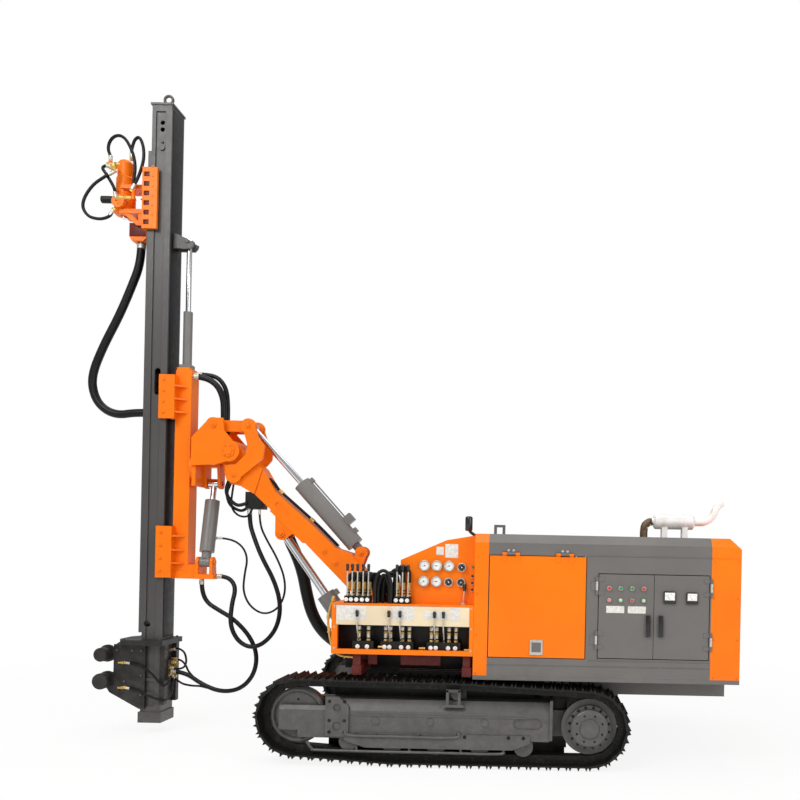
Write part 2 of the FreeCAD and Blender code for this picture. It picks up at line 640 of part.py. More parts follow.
roof_outer = [("-hood_y", "eaves_z"), ("hood_y", "eaves_z"), ("hood_y - eaves_inset", "roof_z"),
              ("-(hood_y - eaves_inset)", "roof_z")]
roof_inner = [("-(hood_y - wall)", "eaves_z - 1"), ("hood_y - wall", "eaves_z - 1"),
              ("hood_y - eaves_inset - wall * 0.4", "roof_z - wall"),
              ("-(hood_y - eaves_inset - wall * 0.4)", "roof_z - wall")]
roof = cut(plate("x", roof_outer, ("post_x", CAP_X)), plate("x", roof_inner, ("post_x - 1", f"{CAP_X} + 1")))
roof_handle = [block(span, ("-700", "-680"), height)
               for span, height in ((("330", "350"), ("roof_z - 1", "roof_z + 52")),
                                    (("390", "410"), ("roof_z - 1", "roof_z + 52")),
                                    (("330", "410"), ("roof_z + 51", "roof_z + 69")))]
node("hood_roof", fused([roof, *roof_handle]))


def hinge_parts(axis, side, places, line):
    """Knuckles of a door's hinges: those on the hood, and those on the door, at places along the axis.

    line is the hinge line's place across the face.
    """
    fixed = []
    moving = []
    at_y = f"{side} * (hood_y + hinge_r)"
    for place in places:
        spans = {"fixed": (f"{place} - hinge_long / 2", f"{place} + hinge_long / 2"),
                 "before": (f"{place} - hinge_long", f"{place} - hinge_long / 2 - rest_gap"),
                 "after": (f"{place} + hinge_long / 2 + rest_gap", f"{place} + hinge_long")}
        at = (at_y, line) if axis == "x" else (line, at_y)
        fixed.append(round_bar(axis, "hinge_r", spans["fixed"], at))
        moving.append(round_bar(axis, "hinge_r", spans["before"], at))
        moving.append(round_bar(axis, "hinge_r", spans["after"], at))
    return fixed, moving


# Cabinet doors, with their handles, buttons, lamps and meters
door_split = "(cabinet_front_x + cabinet_rear_x) / 2"
door_y = ("-hood_y", "-(hood_y - wall)")
door_z = ("cabinet_z + door_gap", "cabinet_top_z - door_gap")
door_hinge_z = ["1249", "883"]
front_edges = ("cabinet_front_x + door_gap", f"{door_split} - 1.5")
rear_edges = (f"{door_split} + 1.5", "cabinet_rear_x - door_gap")
# Round buttons and lamps: x, z, radius
BUTTONS = [("1136", "1236", "12"), ("1213", "1236", "12"), ("1291", "1236", "12"), ("1369", "1236", "12"),
           ("1136", "1156", "10"), ("1213", "1156", "10"), ("1291", "1156", "10"), ("1369", "1156", "10")]
# Square meters: front edge, lower edge, side
METERS = [("1506", "1140", "80"), ("1660", "1140", "76")]
face_y = ("-(hood_y + 12)", "-(hood_y - 1)")
fittings = {
    "front": [round_bar("y", radius, face_y, (x, z)) for x, z, radius in BUTTONS]
             + [block(("1384", "1422"), ("-(hood_y + 16)", "-(hood_y - 1)"), ("916", "1053"))],
    "rear": [block((x, f"{x} + {size}"), ("-(hood_y + 8)", "-(hood_y - 1)"), (z, f"{z} + {size}")) for x, z,
             size in METERS]
            + [block(("1470", "1508"), ("-(hood_y + 16)", "-(hood_y - 1)"), ("916", "1053"))],
}
cabinet_knuckles = []
for name, edges, line, inward in (("front", front_edges, "cabinet_front_x - hinge_r", 1),
                                  ("rear", rear_edges, "cabinet_rear_x + hinge_r", -1)):
    fixed, moving = hinge_parts("z", -1, door_hinge_z, line)
    reach = (line, f"{line} + 50") if inward > 0 else (f"{line} - 50", line)
    grip = (f"{line} + 20", f"{line} + 50") if inward > 0 else (f"{line} - 50", f"{line} - 20")
    root = (f"{line} - 40", line) if inward > 0 else ("cabinet_rear_x + 1", line)
    leaves = [block(along_x, ("-(hood_y + 4)", low_y), (f"{z} - hinge_long", f"{z} + hinge_long"))
              for z in door_hinge_z for along_x, low_y in ((reach, "-(hood_y + rest_gap)"),
                                                           (grip, "-(hood_y - 1)"))]
    notch = [block(reach, ("-(hood_y + 5)", "-(hood_y - 2)"),
                   (f"{z} - hinge_long / 2 - rest_gap",
                    f"{z} + hinge_long / 2 + rest_gap")) for z in door_hinge_z]
    seats = [block(root, ("-(hood_y + 4)", "-(hood_y - 1)"),
                   (f"{z} - hinge_long / 2", f"{z} + hinge_long / 2"))
             for z in door_hinge_z]
    cabinet_knuckles += fixed + seats
    hinge_side = cut(fused([*leaves, *moving]), fused(notch))
    node(f"cabinet_door_{name}", fused([block(edges, door_y, door_z), hinge_side, *fittings[name]]))

# Hood walls and hatches
for side, word in SIDES:
    y_span = sided(side, "hood_y - wall", "hood_y")
    skin = sided(side, "hood_y - 1", "hood_y + 4")
    panel = block(("post_x", CAP_X), y_span, ("hood_z", "eaves_z"))
    through = sided(side, "hood_y - wall - 5", "hood_y + 5")
    # Hatches on this side: name, front edge, rear edge
    hatches = [("side_hatch", "post_x + 2", "hatch_rear_x")]
    holes = []
    knuckles = []
    if side < 0:
        holes.append(block(("cabinet_front_x", "cabinet_rear_x"), through, ("cabinet_z", "cabinet_top_z")))
        knuckles += cabinet_knuckles
    else:
        hatches.append(("engine_hatch", "cabinet_front_x", "cabinet_rear_x"))
    for name, front, rear in hatches:
        holes.append(block((front, rear), through, ("hatch_z", "hatch_top_z")))
        hinge_x = [f"{front} + 150", f"{rear} - 150"]
        fixed, moving = hinge_parts("x", side, hinge_x, "hatch_top_z + hinge_r")
        leaves = [block(span, skin, ("hatch_top_z - 45", "hatch_top_z + hinge_r")) for place in hinge_x
                  for span in ((f"{place} - hinge_long", f"{place} - hinge_long / 2 - rest_gap"),
                               (f"{place} + hinge_long / 2 + rest_gap", f"{place} + hinge_long"))]
        holes += [block((f"{place} - hinge_long - 1", f"{place} + hinge_long + 1"),
                        sided(side, "hood_y - 6", "hood_y + 4"),
                        ("hatch_top_z - 1", "hatch_top_z + hinge_r * 2 + 3")) for place in hinge_x]
        seats = [block((f"{place} - hinge_long / 2", f"{place} + hinge_long / 2"),
                       sided(side, "hood_y - 7", "hood_y + 4"),
                       ("hatch_top_z + 1", "hatch_top_z + hinge_r * 2 + 4")) for place in hinge_x]
        knuckles += fixed + seats
        door = block((f"{front} + door_gap", f"{rear} - door_gap"), y_span,
                     ("hatch_z + door_gap", "hatch_top_z - door_gap"))
        latch = round_bar("y", "22", sided(side, "hood_y - 1", "hood_y + 7"),
                          (f"({front} + {rear}) / 2", "hatch_z + 60"))
        node(f"{name}_{word}", fused([door, latch, *leaves, *moving]))
    node(f"hood_wall_{word}", fused([cut(panel, fused(holes)), *knuckles]))

cabinet_back_y = "-(hood_y - wall - cabinet_depth)"
node("switch_cabinet", cut(block(("cabinet_front_x - 20", "cabinet_rear_x + 8"), ("-(hood_y - wall)",
                                                                                  cabinet_back_y),
                                 ("cabinet_z - 20", "cabinet_top_z + 20")),
                           block(("cabinet_front_x", "cabinet_rear_x - 12"),
                                 ("-(hood_y - wall) - 5", f"{cabinet_back_y} - 15"),
                                 ("cabinet_z", "cabinet_top_z"))))


def cap_shell(front, rear, sloped):
    """A hood end: the hood's section over a span of x, with an end wall; the tail's top edge is sloped."""
    outer_view = [(front, "hood_z"), (rear, "hood_z"), (rear, "roof_z + 1"), (front, "roof_z + 1")]
    inner_span = (f"{front} + wall", f"{rear} + 1")
    inner_view = [(inner_span[0], "hood_z - 5"), (inner_span[1], "hood_z - 5"), (inner_span[1], "roof_z"),
                  (inner_span[0], "roof_z")]
    if sloped:
        outer_view = [(front, "hood_z"), (rear, "hood_z"), (rear, "roof_z - tail_chamfer_z"),
                      (f"{rear} - tail_chamfer_x", "roof_z"), (front, "roof_z + 1")]
        inner_span = (f"{front} - 1", f"{rear} - wall")
        inner_view = [(inner_span[0], "hood_z - 5"), (inner_span[1], "hood_z - 5"),
                      (inner_span[1], "roof_z - tail_chamfer_z - wall * 0.4"),
                      (f"{rear} - tail_chamfer_x - wall * 0.4", "roof_z - wall"),
                      (inner_span[0], "roof_z - wall")]
    across = ("-hood_y - 5", "hood_y + 5")
    return cut(common(plate("x", hood_section("0"), (front, rear)), plate("y", outer_view, across)),
               common(plate("x", hood_section("wall"), inner_span), plate("y", inner_view, across)))


node("hood_front_cap", cap_shell("hood_front_x", "post_x", False))
grille = [block(("hood_rear_x - wall - 5", "hood_rear_x + 5"), ("-620", "620"),
                (f"hood_z + 200 + {index} * 70", f"hood_z + 240 + {index} * 70")) for index in range(9)]
node("hood_rear_cap", cut(cap_shell(CAP_X, "hood_rear_x", True), fused(grille)))

# Engine, compressor and radiator
engine_x = ("hood_front_x + 759", "hood_rear_x - 350")
feet = [block((f"{x}", f"{x} + 90"), (f"{y}", f"{y} + 90"), ("deck_z", "deck_z + 61"))
        for x in (f"{engine_x[0]} + 20", f"{engine_x[1]} - 120") for y in (-260, 170)]
node("engine", fused([block(engine_x, ("-300", "300"), ("deck_z + 60", "deck_z + 660")), *feet]))
node("compressor", block(("hood_front_x + 199", "hood_front_x + 679"), ("-280", "280"),
                         ("deck_z", "deck_z + 560")))
node("radiator", block(("hood_rear_x - wall - 150", "hood_rear_x - wall - 40"), ("-600", "600"),
                       ("deck_z", "deck_z + 820")))


def tube_path(points):
    """Straight runs joined by tangent arcs, each arc as large as its two runs allow."""
    edges = []
    start = points[0]
    radii = []
    for before, corner, after in zip(points, points[1:], points[2:]):
        back = before - corner
        ahead = after - corner
        turn = math.pi - back.getAngle(ahead)
        setback = 0.45 * min(back.Length, ahead.Length)
        radius = setback / math.tan(turn / 2)
        radii.append(radius)
        back.normalize()
        ahead.normalize()
        middle = back + ahead
        middle.normalize()
        middle = corner + middle * (radius / math.cos(turn / 2) - radius)
        first = corner + back * setback
        last = corner + ahead * setback
        edges.append(Part.LineSegment(start, first).toShape())
        edges.append(Part.Arc(first, middle, last).toShape())
        start = last
    edges.append(Part.LineSegment(start, points[-1]).toShape())
    return Part.Wire(edges), radii


def tube(points, radius, bore=0.0):
    """A round tube or hose along points."""
    wire, radii = tube_path(points)
    direction = points[1] - points[0]
    shape = wire.makePipeShell([Part.Wire(Part.makeCircle(radius, points[0], direction))], True, False)
    if bore:
        shape = shape.cut(wire.makePipeShell([Part.Wire(Part.makeCircle(bore, points[0], direction))], True,
                                             False))
    return shape, wire.Length, radii


def places(rows):
    """Points from (x, y, z) rows; x counts from the middle of the tracks."""
    return [Vector(S.mid_x + x, y, z) for x, y, z in rows]


def pipe(rows, radius):
    """A formed pipe along (x, y, z) rows."""
    return solid_feature(tube(places(rows), radius)[0])


# Exhaust: silencer on saddles, bent inlet from the roof, tailpipe
silencer_front = "silencer_x - silencer_long / 2"
silencer_rear = "silencer_x + silencer_long / 2"
silencer = turned("x", [(silencer_front, "silencer_r - 14"), (f"{silencer_front} + 12", "silencer_r"),
                        (f"{silencer_rear} - 12", "silencer_r"), (silencer_rear, "silencer_r - 14")],
                  ("silencer_y", "silencer_z"))
straps = [round_bar("x", "silencer_r + 3", (f"{x} - 14", f"{x} + 14"), ("silencer_y", "silencer_z"))
          for x in ("silencer_x - 70", "silencer_x + 80")]
saddles = [block((f"{x} - 20", f"{x} + 20"), ("silencer_y - 45", "silencer_y + 45"),
                 ("roof_z", "silencer_z - silencer_r + 15"))
           for x in ("silencer_x - 70", "silencer_x + 80")]
inlet_x = S.silencer_x - S.silencer_long / 2
inlet = pipe([(inlet_x - 70, S.silencer_y, S.roof_z), (inlet_x - 70, S.silencer_y, S.roof_z + 60),
              (inlet_x - 56, S.silencer_y, S.silencer_z - 14), (inlet_x - 10, S.silencer_y, S.silencer_z),
              (inlet_x + 20, S.silencer_y, S.silencer_z)], S.tailpipe_r)
node("silencer", fused([silencer, *straps, *saddles, inlet]))
tail_x = S.silencer_x + S.silencer_long / 2
tail_points = places([(tail_x + dx, S.silencer_y, S.silencer_z + dz)
                      for dx, dz in ((0, 0), (75, 0), (135, 36), (160, 105), (208, 150))])
shape, length, radii = tube(tail_points, S.tailpipe_r, S.tailpipe_r - 4)
node("tailpipe", solid_feature(shape))

# Console box: a folded frame with an inset blank panel above and an open front below
console_back = "-(console_y - console_depth)"
console_in = "-(console_y - console_fold)"
hollow = block(("console_front_x + sheet", "hood_front_x - sheet"), (console_in, f"{console_back} - sheet"),
               ("console_z + sheet", "console_top_z - sheet"))
mouth = block(("console_front_x + console_post", "hood_front_x - console_fold"),
              ("-console_y - 5", f"{console_in} + 1"),
              ("console_z + console_lip", "console_panel_z"))
recess = block(("console_front_x + console_fold", "hood_front_x - console_fold"),
               ("-console_y - 5", "-(console_y - 15)"),
               ("console_panel_z", "console_top_z - 13"))
console = cut(block(("console_front_x", "hood_front_x - 1"), ("-console_y", console_back),
                    ("console_z", "console_top_z")),
              fused([hollow, mouth, recess]))
legs = [block((low, high), (f"{y} - 20", f"{y} + 20"), ("deck_z + 60", "console_z"))
        for low, high in (("-596", "-546"), ("152", "202")) for y in ("-950", "-680")]
apron = [block((low, high), ("-905", "-890"), ("deck_z + 62", "console_z"))
         for low, high in (("-506", "-446"), ("-281", "-10"))]
node("console_box", fused([console, *legs, *apron]))

dash_outline = [("dash_x", "console_top_z"), ("hood_front_x - 1", "console_top_z"),
                ("hood_front_x - 1", "roof_z - 12"),
                ("dash_knee_x", "dash_knee_z"), ("dash_x", "dash_low_z")]
dash_inner = [("dash_x + sheet", "console_top_z + sheet"),
              ("hood_front_x - 1 - sheet", "console_top_z + sheet"),
              ("hood_front_x - 1 - sheet", "roof_z - 12 - sheet * 1.2"),
              ("dash_knee_x + 3", "dash_knee_z - sheet * 1.2"),
              ("dash_x + sheet", "dash_low_z - sheet * 1.2")]
node("gauge_housing", cut(plate("y", dash_outline, ("-dash_y", "-(dash_y - 300)")),
                          plate("y", dash_inner, ("-(dash_y - sheet)", "-(dash_y - 300 + sheet)"))))

# Gauges: x, z, radius of the case
GAUGES = [(-130, 1361, 36), (-45, 1361, 36), (40, 1361, 36), (127, 1353, 30), (-133, 1253, 36),
          (-46, 1253, 36),
          (38, 1250, 30), (123, 1250, 30)]
gauges = [cut(round_bar("y", radius, ("-dash_y - 24", "-dash_y"), (x, z)),
              round_bar("y", radius - 6, ("-dash_y - 30", "-dash_y - 18"), (x, z))) for x, z,
              radius in GAUGES]
node("gauges", group(gauges))

tank = block(("console_front_x", "hood_front_x - 1"), sided(1, "console_y - console_depth", "console_y"),
             ("deck_z + 60", "console_top_z"))
filler = round_bar("z", "45", ("console_top_z - 1", "console_top_z + 40"), ("-600", "console_y - 120"))
node("fuel_tank", fused([tank, filler]))

# Upper valve banks: places of their levers along X; each valve has a lever, a cap and a bent hose
# Each hose bends from its valve back to the box: steps along X, places along Y, heights over the box
BACKWARD = ((0, -930, 100), (0, -930, 142), (16, -916, 178), (54, -884, 190), (86, -850, 150),
            (94, -834, 70), (94, -834, 0))
FORWARD = ((0, -930, 101), (0, -930, 142), (-16, -930, 178), (-60, -928, 190), (-90, -922, 178),
           (-104, -918, 130),
           (-104, -918, 0))
banks = []
for levers, bends, climb in (((-645, -612, -576, -538, -502), BACKWARD, 0),
                             ((-308, -270, -232), FORWARD, 22)):
    parts = [block((levers[0] - 16, levers[-1] + 16), ("-990", "-905"),
                   ("console_top_z", "console_top_z + 48"))]
    for count, x in enumerate(levers):
        bent = [(x + dx, y, dz + climb * count if dz > 101 else dz) for dx, y, dz in bends]
        parts.append(round_bar("y", "13", ("-999", "-989"), (x, "console_top_z + 24")))
        parts.append(round_bar("z", "11", ("console_top_z + 47", "console_top_z + 105"), (x, "-930")))
        parts.append(round_bar("z", "4", ("console_top_z + 47", "console_top_z + 222"), (x, "-974")))
        parts.append(round_bar("z", "9", ("console_top_z + 218", "console_top_z + 264"), (x, "-974")))
        parts.append(pipe([(end_x, end_y, S.console_top_z + end_z) for end_x, end_y, end_z in bent], 9))
    banks.append(fused(parts))
for y, low, high, rise in ((-984, -455, -345, 236), (-956, -440, -360, 205)):
    middle = (low + high) / 2
    banks.append(pipe([(low, y, S.console_top_z), (low, y, S.console_top_z + rise - 95),
                       (low + 20, y, S.console_top_z + rise - 30),
                       (middle, y, S.console_top_z + rise - 8), (high - 20, y, S.console_top_z + rise - 30),
                       (high, y, S.console_top_z + rise - 95), (high, y, S.console_top_z)], 12))
node("valves_upper", group(banks))

# Lower valve banks in the open console: ends along X, places of the caps, places of the levers
lower_banks = []
floor_z = "console_z + sheet"
for low, high, caps, levers in (("-604", "-462", ("-566", "-501"), (-566,)),
                                ("-412", "-192", ("-383", "-350", "-269", "-221"), (-351, -276)),
                                ("-98", "130", ("-69", "-34", "50", "98"), (-43, 18))):
    parts = [block((low, high), ("-962", "-850"), (floor_z, "console_z + 86"))]
    for x in caps:
        parts.append(round_bar("y", "14", ("-976", "-961"), (x, "console_z + 50")))
        parts.append(round_bar("z", "9", ("console_z + 85", "console_z + 150"), (x, "-935")))
        parts.append(round_bar("z", "12", ("console_z + 110", "console_z + 138"), (x, "-935")))
    for x in levers:
        parts.append(pipe([(x, -950, S.console_z + 80), (x, -956, S.console_z + 110),
                           (x, -1000, S.console_z + 170),
                           (x, -1012, S.console_z + 215), (x, -1014, S.console_z + 262)], 4))
        parts.append(round_bar("z", "10", ("console_z + 258", "console_z + 298"), (x, "-1014")))
    lower_banks.append(fused(parts))
node("valves_lower", group(lower_banks))

# Swing bracket
cheek_outline = [("swing_x + 90", "deck_bottom_z + 45"), ("swing_x + 90", "boom_z - 160"),
                 ("boom_x + 80", "boom_z + 50"),
                 ("boom_x - 90", "boom_z + 20"), ("lift_foot_x - 75", "lift_foot_z + 60"),
                 ("lift_foot_x - 60", "lift_foot_z - 40"), ("lift_foot_x + 20", "deck_bottom_z + 45")]
cheek_out = "cheek_y + cheek_thick"
cheeks = [plate("y", cheek_outline, sided(side, "cheek_y", cheek_out),
                discs=[("boom_x", "boom_z", "boom_foot_r"), ("lift_foot_x", "lift_foot_z", "70")])
          for side, word in SIDES]
hub = cut(round_bar("z", "hub_r + 2", ("deck_bottom_z + 45", "boom_z - 140"), ("swing_x", "0")),
          round_bar("z", "post_r + gland_gap", ("deck_bottom_z", "boom_z"), ("swing_x", "0")))
bracket_pins = [round_bar("y", radius, (f"-({cheek_out} + 12)", f"{cheek_out} + 12"), at)
                for radius, at in (("big_pin_r", ("boom_x", "boom_z")),
                                   ("pin_r + 6", ("lift_foot_x", "lift_foot_z")))]
turn_head_x = "swing_x - turn_head_back"
turn_lugs = [plate("z", [("swing_x - 120", "cheek_y"), ("swing_x + 20", "cheek_y"),
                         (f"{turn_head_x} + 38", "turn_head_y"), (f"{turn_head_x} - 38", "turn_head_y")],
                   (low, high), discs=[(turn_head_x, "turn_head_y", "38")])
             for low, high in (("turn_z - 50", "turn_z - 27"), ("turn_z + 27", "turn_z + 50"))]
node("swing_bracket", fused([*cheeks, hub, *bracket_pins, *turn_lugs]))

# Boom
boom_outline = [("boom_x - 20", "boom_z - 85"), ("-881", "1201"), ("-1224", "1544"), ("-1581", "1873"),
                ("-1712", "1947"),
                ("-1520", "2072"), ("-1412", "1890"), ("-1124", "1640"), ("-932", "1462"), ("-818", "1427"),
                ("boom_x + 75", "boom_z + 45")]
boom_body = plate("y", boom_outline, ("-boom_half", "boom_half"))
boom_foot = round_bar("y", "boom_foot_r", ("-boom_wide_half", "boom_wide_half"), ("boom_x", "boom_z"))
head_outline = [("rocker_x + 22", "rocker_z - 68"), ("-1581", "1873"), ("-1520", "2072"),
                ("tilt_x + 83", "tilt_z + 20"),
                ("tilt_x - 83", "tilt_z - 20"), ("rocker_x - 72", "rocker_z - 10")]
boom_head = plate("y", head_outline, ("-boom_wide_half", "boom_wide_half"),
                  discs=[("tilt_x", "tilt_z", "85"), ("rocker_x", "rocker_z", "72")])
tilt_lugs = [plate("y", [("-805", "1375"), ("-740", "1315"), ("-696", "1433"), ("-744", "1470"),
                         ("-790", "1420")],
                   sided(side, "42", "62"), discs=[("tilt_foot_x", "tilt_foot_z", "48")]) for side,
                   word in SIDES]
lift_lugs = [plate("y", [("lift_head_x - 50", "lift_head_z + 10"), ("lift_head_x + 20", "lift_head_z - 45"),
                         ("lift_head_x + 130", "lift_head_z + 30"), ("lift_head_x + 50", "lift_head_z + 160"),
                         ("lift_head_x - 50", "lift_head_z + 170")], sided(side, "50", "72"),
                   discs=[("lift_head_x", "lift_head_z", "50")]) for side, word in SIDES]
lug_root = plate("y", [("-1200", "1500"), ("-1460", "1745"), ("-1400", "1800"), ("-1140", "1560")],
                 ("-boom_half", "boom_half"))
eye_relief = round_bar("y", "lift_eye_r + 42", ("-49", "49"), ("lift_head_x", "lift_head_z"))
pockets = [plate("y", [("-1411", "1778"), ("-1335", "1712"), ("-1309", "1742"), ("-1385", "1808")],
                 sided(side, "boom_half - 8", "boom_half + 1"),
                 discs=[("-1398", "1793", "20"), ("-1322", "1727", "20")])
           for side, word in SIDES]
bosses = [round_bar("y", "22", ("-boom_half - 7", "boom_half + 7"), at) for at in (("-1029", "1441"),
                                                                                   ("-940", "1350"))]
boom_bores = [round_bar("y", radius, ("-200", "200"), at) for radius, at in (
    ("big_pin_r + pin_gap", ("boom_x", "boom_z")), ("big_pin_r + pin_gap", ("tilt_x", "tilt_z")),
    ("pin_r + pin_gap", ("rocker_x", "rocker_z")))]
hose_blocks = [block(("-1655", "-1525"), ("-70", "70"), ("1760", "1890")),
               block(("-1455", "-1345"), ("boom_half - 1", "195"), ("1740", "1790"))]
tilt_foot_pin = round_bar("y", "pin_r", ("-74", "74"), ("tilt_foot_x", "tilt_foot_z"))
lift_caps = [round_bar("y", "pin_r + 4", sided(side, "71", "88"), ("lift_head_x", "lift_head_z")) for side,
             word in SIDES]
boom_solid = cut(fused([cut(fused([boom_body, lug_root]), eye_relief), boom_foot, boom_head, *tilt_lugs,
                        *lift_lugs, *bosses, *hose_blocks]),
                 fused([*boom_bores, *pockets]))
node("boom", fused([boom_solid, tilt_foot_pin, *lift_caps]))


# Rams
def ram(name, across, foot, head, bore_r, rod_in, extras=()):
    """Barrel and rod of one ram, drawn along their own first axis and turned from foot to head.

    foot and head are (x, y, z) expressions, the ram lies across the axis named, and extras are pieces on
    the barrel in the ram's own coordinates.
    """
    first, second = {"y": (0, 2), "z": (0, 1), "x": (1, 2)}[across]
    run = f"(({head[first]}) - ({foot[first]}))"
    rise = f"(({head[second]}) - ({foot[second]}))"
    length = f"sqrt(pow({run}; 2) + pow({rise}; 2))"
    turn = f"{-1 if across == 'y' else 1} * atan2({rise}; {run})"
    spin = {"x": Vector(1, 0, 0), "y": Vector(0, 1, 0), "z": Vector(0, 0, 1)}[across]
    eye_plane = PLANES[across]
    barrel_r, barrel_long, rod_r, eye_r, eye_half = (f"{name}_{word}" for word in (
        "barrel_r", "barrel_long", "rod_r", "eye_r", "eye_half"))
    inner = f"{rod_r} + gland_gap"
    wide = f"{barrel_r} - barrel_wall"
    neck_r = f"{eye_half} - 2"
    barrel_profile = [(f"{eye_r} - 12", "0"), (f"{eye_r} - 12", neck_r), (f"{eye_r} + neck_long", neck_r),
                      (f"{eye_r} + neck_long", barrel_r), (barrel_long, barrel_r), (barrel_long, inner),
                      (f"{barrel_long} - gland_long", inner), (f"{barrel_long} - gland_long", wide),
                      (f"{eye_r} + neck_long + 20", wide), (f"{eye_r} + neck_long + 20", "0")]
    rod_profile = [(rod_in, "0"), (rod_in, rod_r), (f"{length} - {eye_r} + 8", rod_r),
                   (f"{length} - {eye_r} + 8", "0")]
    made = []
    for profile, eye_at, more in ((barrel_profile, "0", extras), (rod_profile, length, ())):
        body = fresh("PartDesign::Body", "Ram")
        sketch = drawn(body, "YZ_Plane" if across == "x" else "XY_Plane", profile)
        spun = body.newObject("PartDesign::Revolution", f"{body.Name}Spun")
        spun.Profile = (sketch, [""])
        spun.ReferenceAxis = (sketch, ["H_Axis"])
        spun.Angle = 360
        pad = body.newObject("PartDesign::Pad", f"{body.Name}Eye")
        pad.Profile = (drawn(body, eye_plane, circles=[(eye_at, "0", eye_r)]), [""])
        bind(pad, "Length", f"2 * ({eye_half})")
        pad.Midplane = True
        pocket = body.newObject("PartDesign::Pocket", f"{body.Name}Bore")
        pocket.Profile = (drawn(body, eye_plane, circles=[(eye_at, "0", bore_r)]), [""])
        pocket.Type = "ThroughAll"
        pocket.Midplane = True
        whole = fused([body, *more]) if more else body
        whole.Placement = Placement(Vector(), Rotation(spin, 10))
        bind(whole, "Placement.Rotation.Angle", turn)
        made.append(put(whole, *foot))
    return made


def own(low, high):
    """A span along a ram's own axis, measured from its foot pin."""
    return (f"{low} - mid_x", f"{high} - mid_x")


port_block = block(own("lift_barrel_long - 55", "lift_barrel_long - 10"), ("-26", "26"),
                   ("-(lift_barrel_r + 24)", "-(lift_barrel_r - 8)"))
barrel, rod = ram("lift", "y", ("lift_foot_x", "0", "lift_foot_z"), ("lift_head_x", "0", "lift_head_z"),
                  "pin_r + 6 + pin_gap", "500", [port_block])
node("lift_ram_barrel", barrel)
node("lift_ram_rod", rod)
valve_block = [block(own("235", "305"), ("-34", "34"), ("-(tilt_barrel_r + 62)", "-(tilt_barrel_r - 8)")),
               block(own("150", "190"), ("-22", "22"), ("-(tilt_barrel_r + 22)", "-(tilt_barrel_r - 8)")),
               block(own("tilt_barrel_long - 50", "tilt_barrel_long - 16"), ("-20", "20"),
                     ("-(tilt_barrel_r + 24)", "-(tilt_barrel_r - 8)")),
               round_bar("x", "6", own("300", "tilt_barrel_long - 45"), ("0", "-(tilt_barrel_r + 14)"))]
barrel, rod = ram("tilt", "y", ("tilt_foot_x", "0", "tilt_foot_z"), ("crown_x", "0", "crown_z"),
                  "pin_r + pin_gap", "640",
                  valve_block)
node("tilt_ram_barrel", barrel)
node("tilt_ram_rod", rod)
barrel, rod = ram("turn", "z", ("turn_foot_x", "turn_foot_y", "turn_z"),
                  (turn_head_x, "turn_head_y", "turn_z"),
                  "pin_r + pin_gap", "330")
node("turn_ram_barrel", barrel)
node("turn_ram_rod", rod)

# Rocker, link and tilt bracket
rocker_outline = [("-1654", "2454"), ("-1590", "2440"), ("-1545", "2310"), ("-1497", "2243"),
                  ("-1509", "2153"),
                  ("-1544", "2112"), ("-1671", "2007"), ("-1729", "1973"), ("-1783", "1991"),
                  ("-1807", "2093"),
                  ("-1720", "2102"), ("-1640", "2180"), ("-1633", "2258"), ("-1661", "2356")]
rocker_out = "rocker_y + rocker_thick"
rocker_sides = [plate("y", rocker_outline, sided(side, "rocker_y", rocker_out),
                      discs=[("crown_x", "crown_z", "58"), ("rocker_x", "rocker_z", "60")]) for side,
                      word in SIDES]
crown_pins = [round_bar("y", "pin_r", sided(side, "50", f"{rocker_out} + 6"),
                        ("crown_x", "crown_z")) for side, word in SIDES]
rocker_pin = round_bar("y", "pin_r", (f"-({rocker_out} + 4)", f"{rocker_out} + 4"), ("rocker_x", "rocker_z"))
node("rocker", fused([*rocker_sides, *crown_pins, rocker_pin]))

link_bars = [plate("y", [("link_x", "link_z - 44"), ("crown_x", "crown_z - 44"), ("crown_x", "crown_z + 44"),
                         ("link_x", "link_z + 44")], sided(side, "62", "90"),
                   discs=[("link_x", "link_z", "52"), ("crown_x", "crown_z", "52")],
                   holes=[("crown_x", "crown_z", "pin_r + pin_gap"), ("link_x", "link_z", "pin_r + pin_gap")])
             for side, word in SIDES]
link_tie = block(("(link_x + crown_x) / 2 - 30", "(link_x + crown_x) / 2 + 20"), ("-63", "63"),
                 ("link_z - 25", "link_z + 25"))
node("tilt_link", fused([*link_bars, link_tie]))

bracket_outline = [("-2055", "2300"), ("-1915", "2455"), ("-1814", "2455"), ("-1804", "2357"),
                   ("-1740", "2285"),
                   ("tilt_x + 60", "tilt_z - 60"), ("-1870", "2092"), ("-2055", "2083")]
bracket_out = "bracket_y + bracket_thick"
bracket_sides = [plate("y", bracket_outline, sided(side, "bracket_y", bracket_out),
                       discs=[("tilt_x", "tilt_z", "85"), ("link_x", "link_z", "58")]) for side,
                       word in SIDES]
bracket_back = block(("bracket_x", "bracket_x + 30"), ("-bracket_y - 1", "bracket_y + 1"), ("1925", "2300"))
sway_disc = round_bar("x", "105", ("column_rear_x + 2", "bracket_x + 1"), ("0", "sway_z"))
sway_pin = round_bar("x", "sway_pin_r", ("column_front_x - 10", "bracket_x + 25"), ("0", "sway_z"))
main_pin = round_bar("y", "big_pin_r", (f"-({bracket_out} + 12)", f"{bracket_out} + 12"),
                     ("tilt_x", "tilt_z"))
main_caps = [round_bar("y", "big_pin_r + 18", sided(side, f"{bracket_out} - 1", f"{bracket_out} + 8"),
                       ("tilt_x", "tilt_z"))
             for side, word in SIDES]
link_caps = [round_bar("y", "pin_r + 4", sided(side, f"{bracket_out} - 1", f"{bracket_out} + 10"),
                       ("link_x", "link_z"))
             for side, word in SIDES]
link_pins = [round_bar("y", "pin_r", sided(side, "94", "bracket_y + 1"), ("link_x", "link_z")) for side,
             word in SIDES]
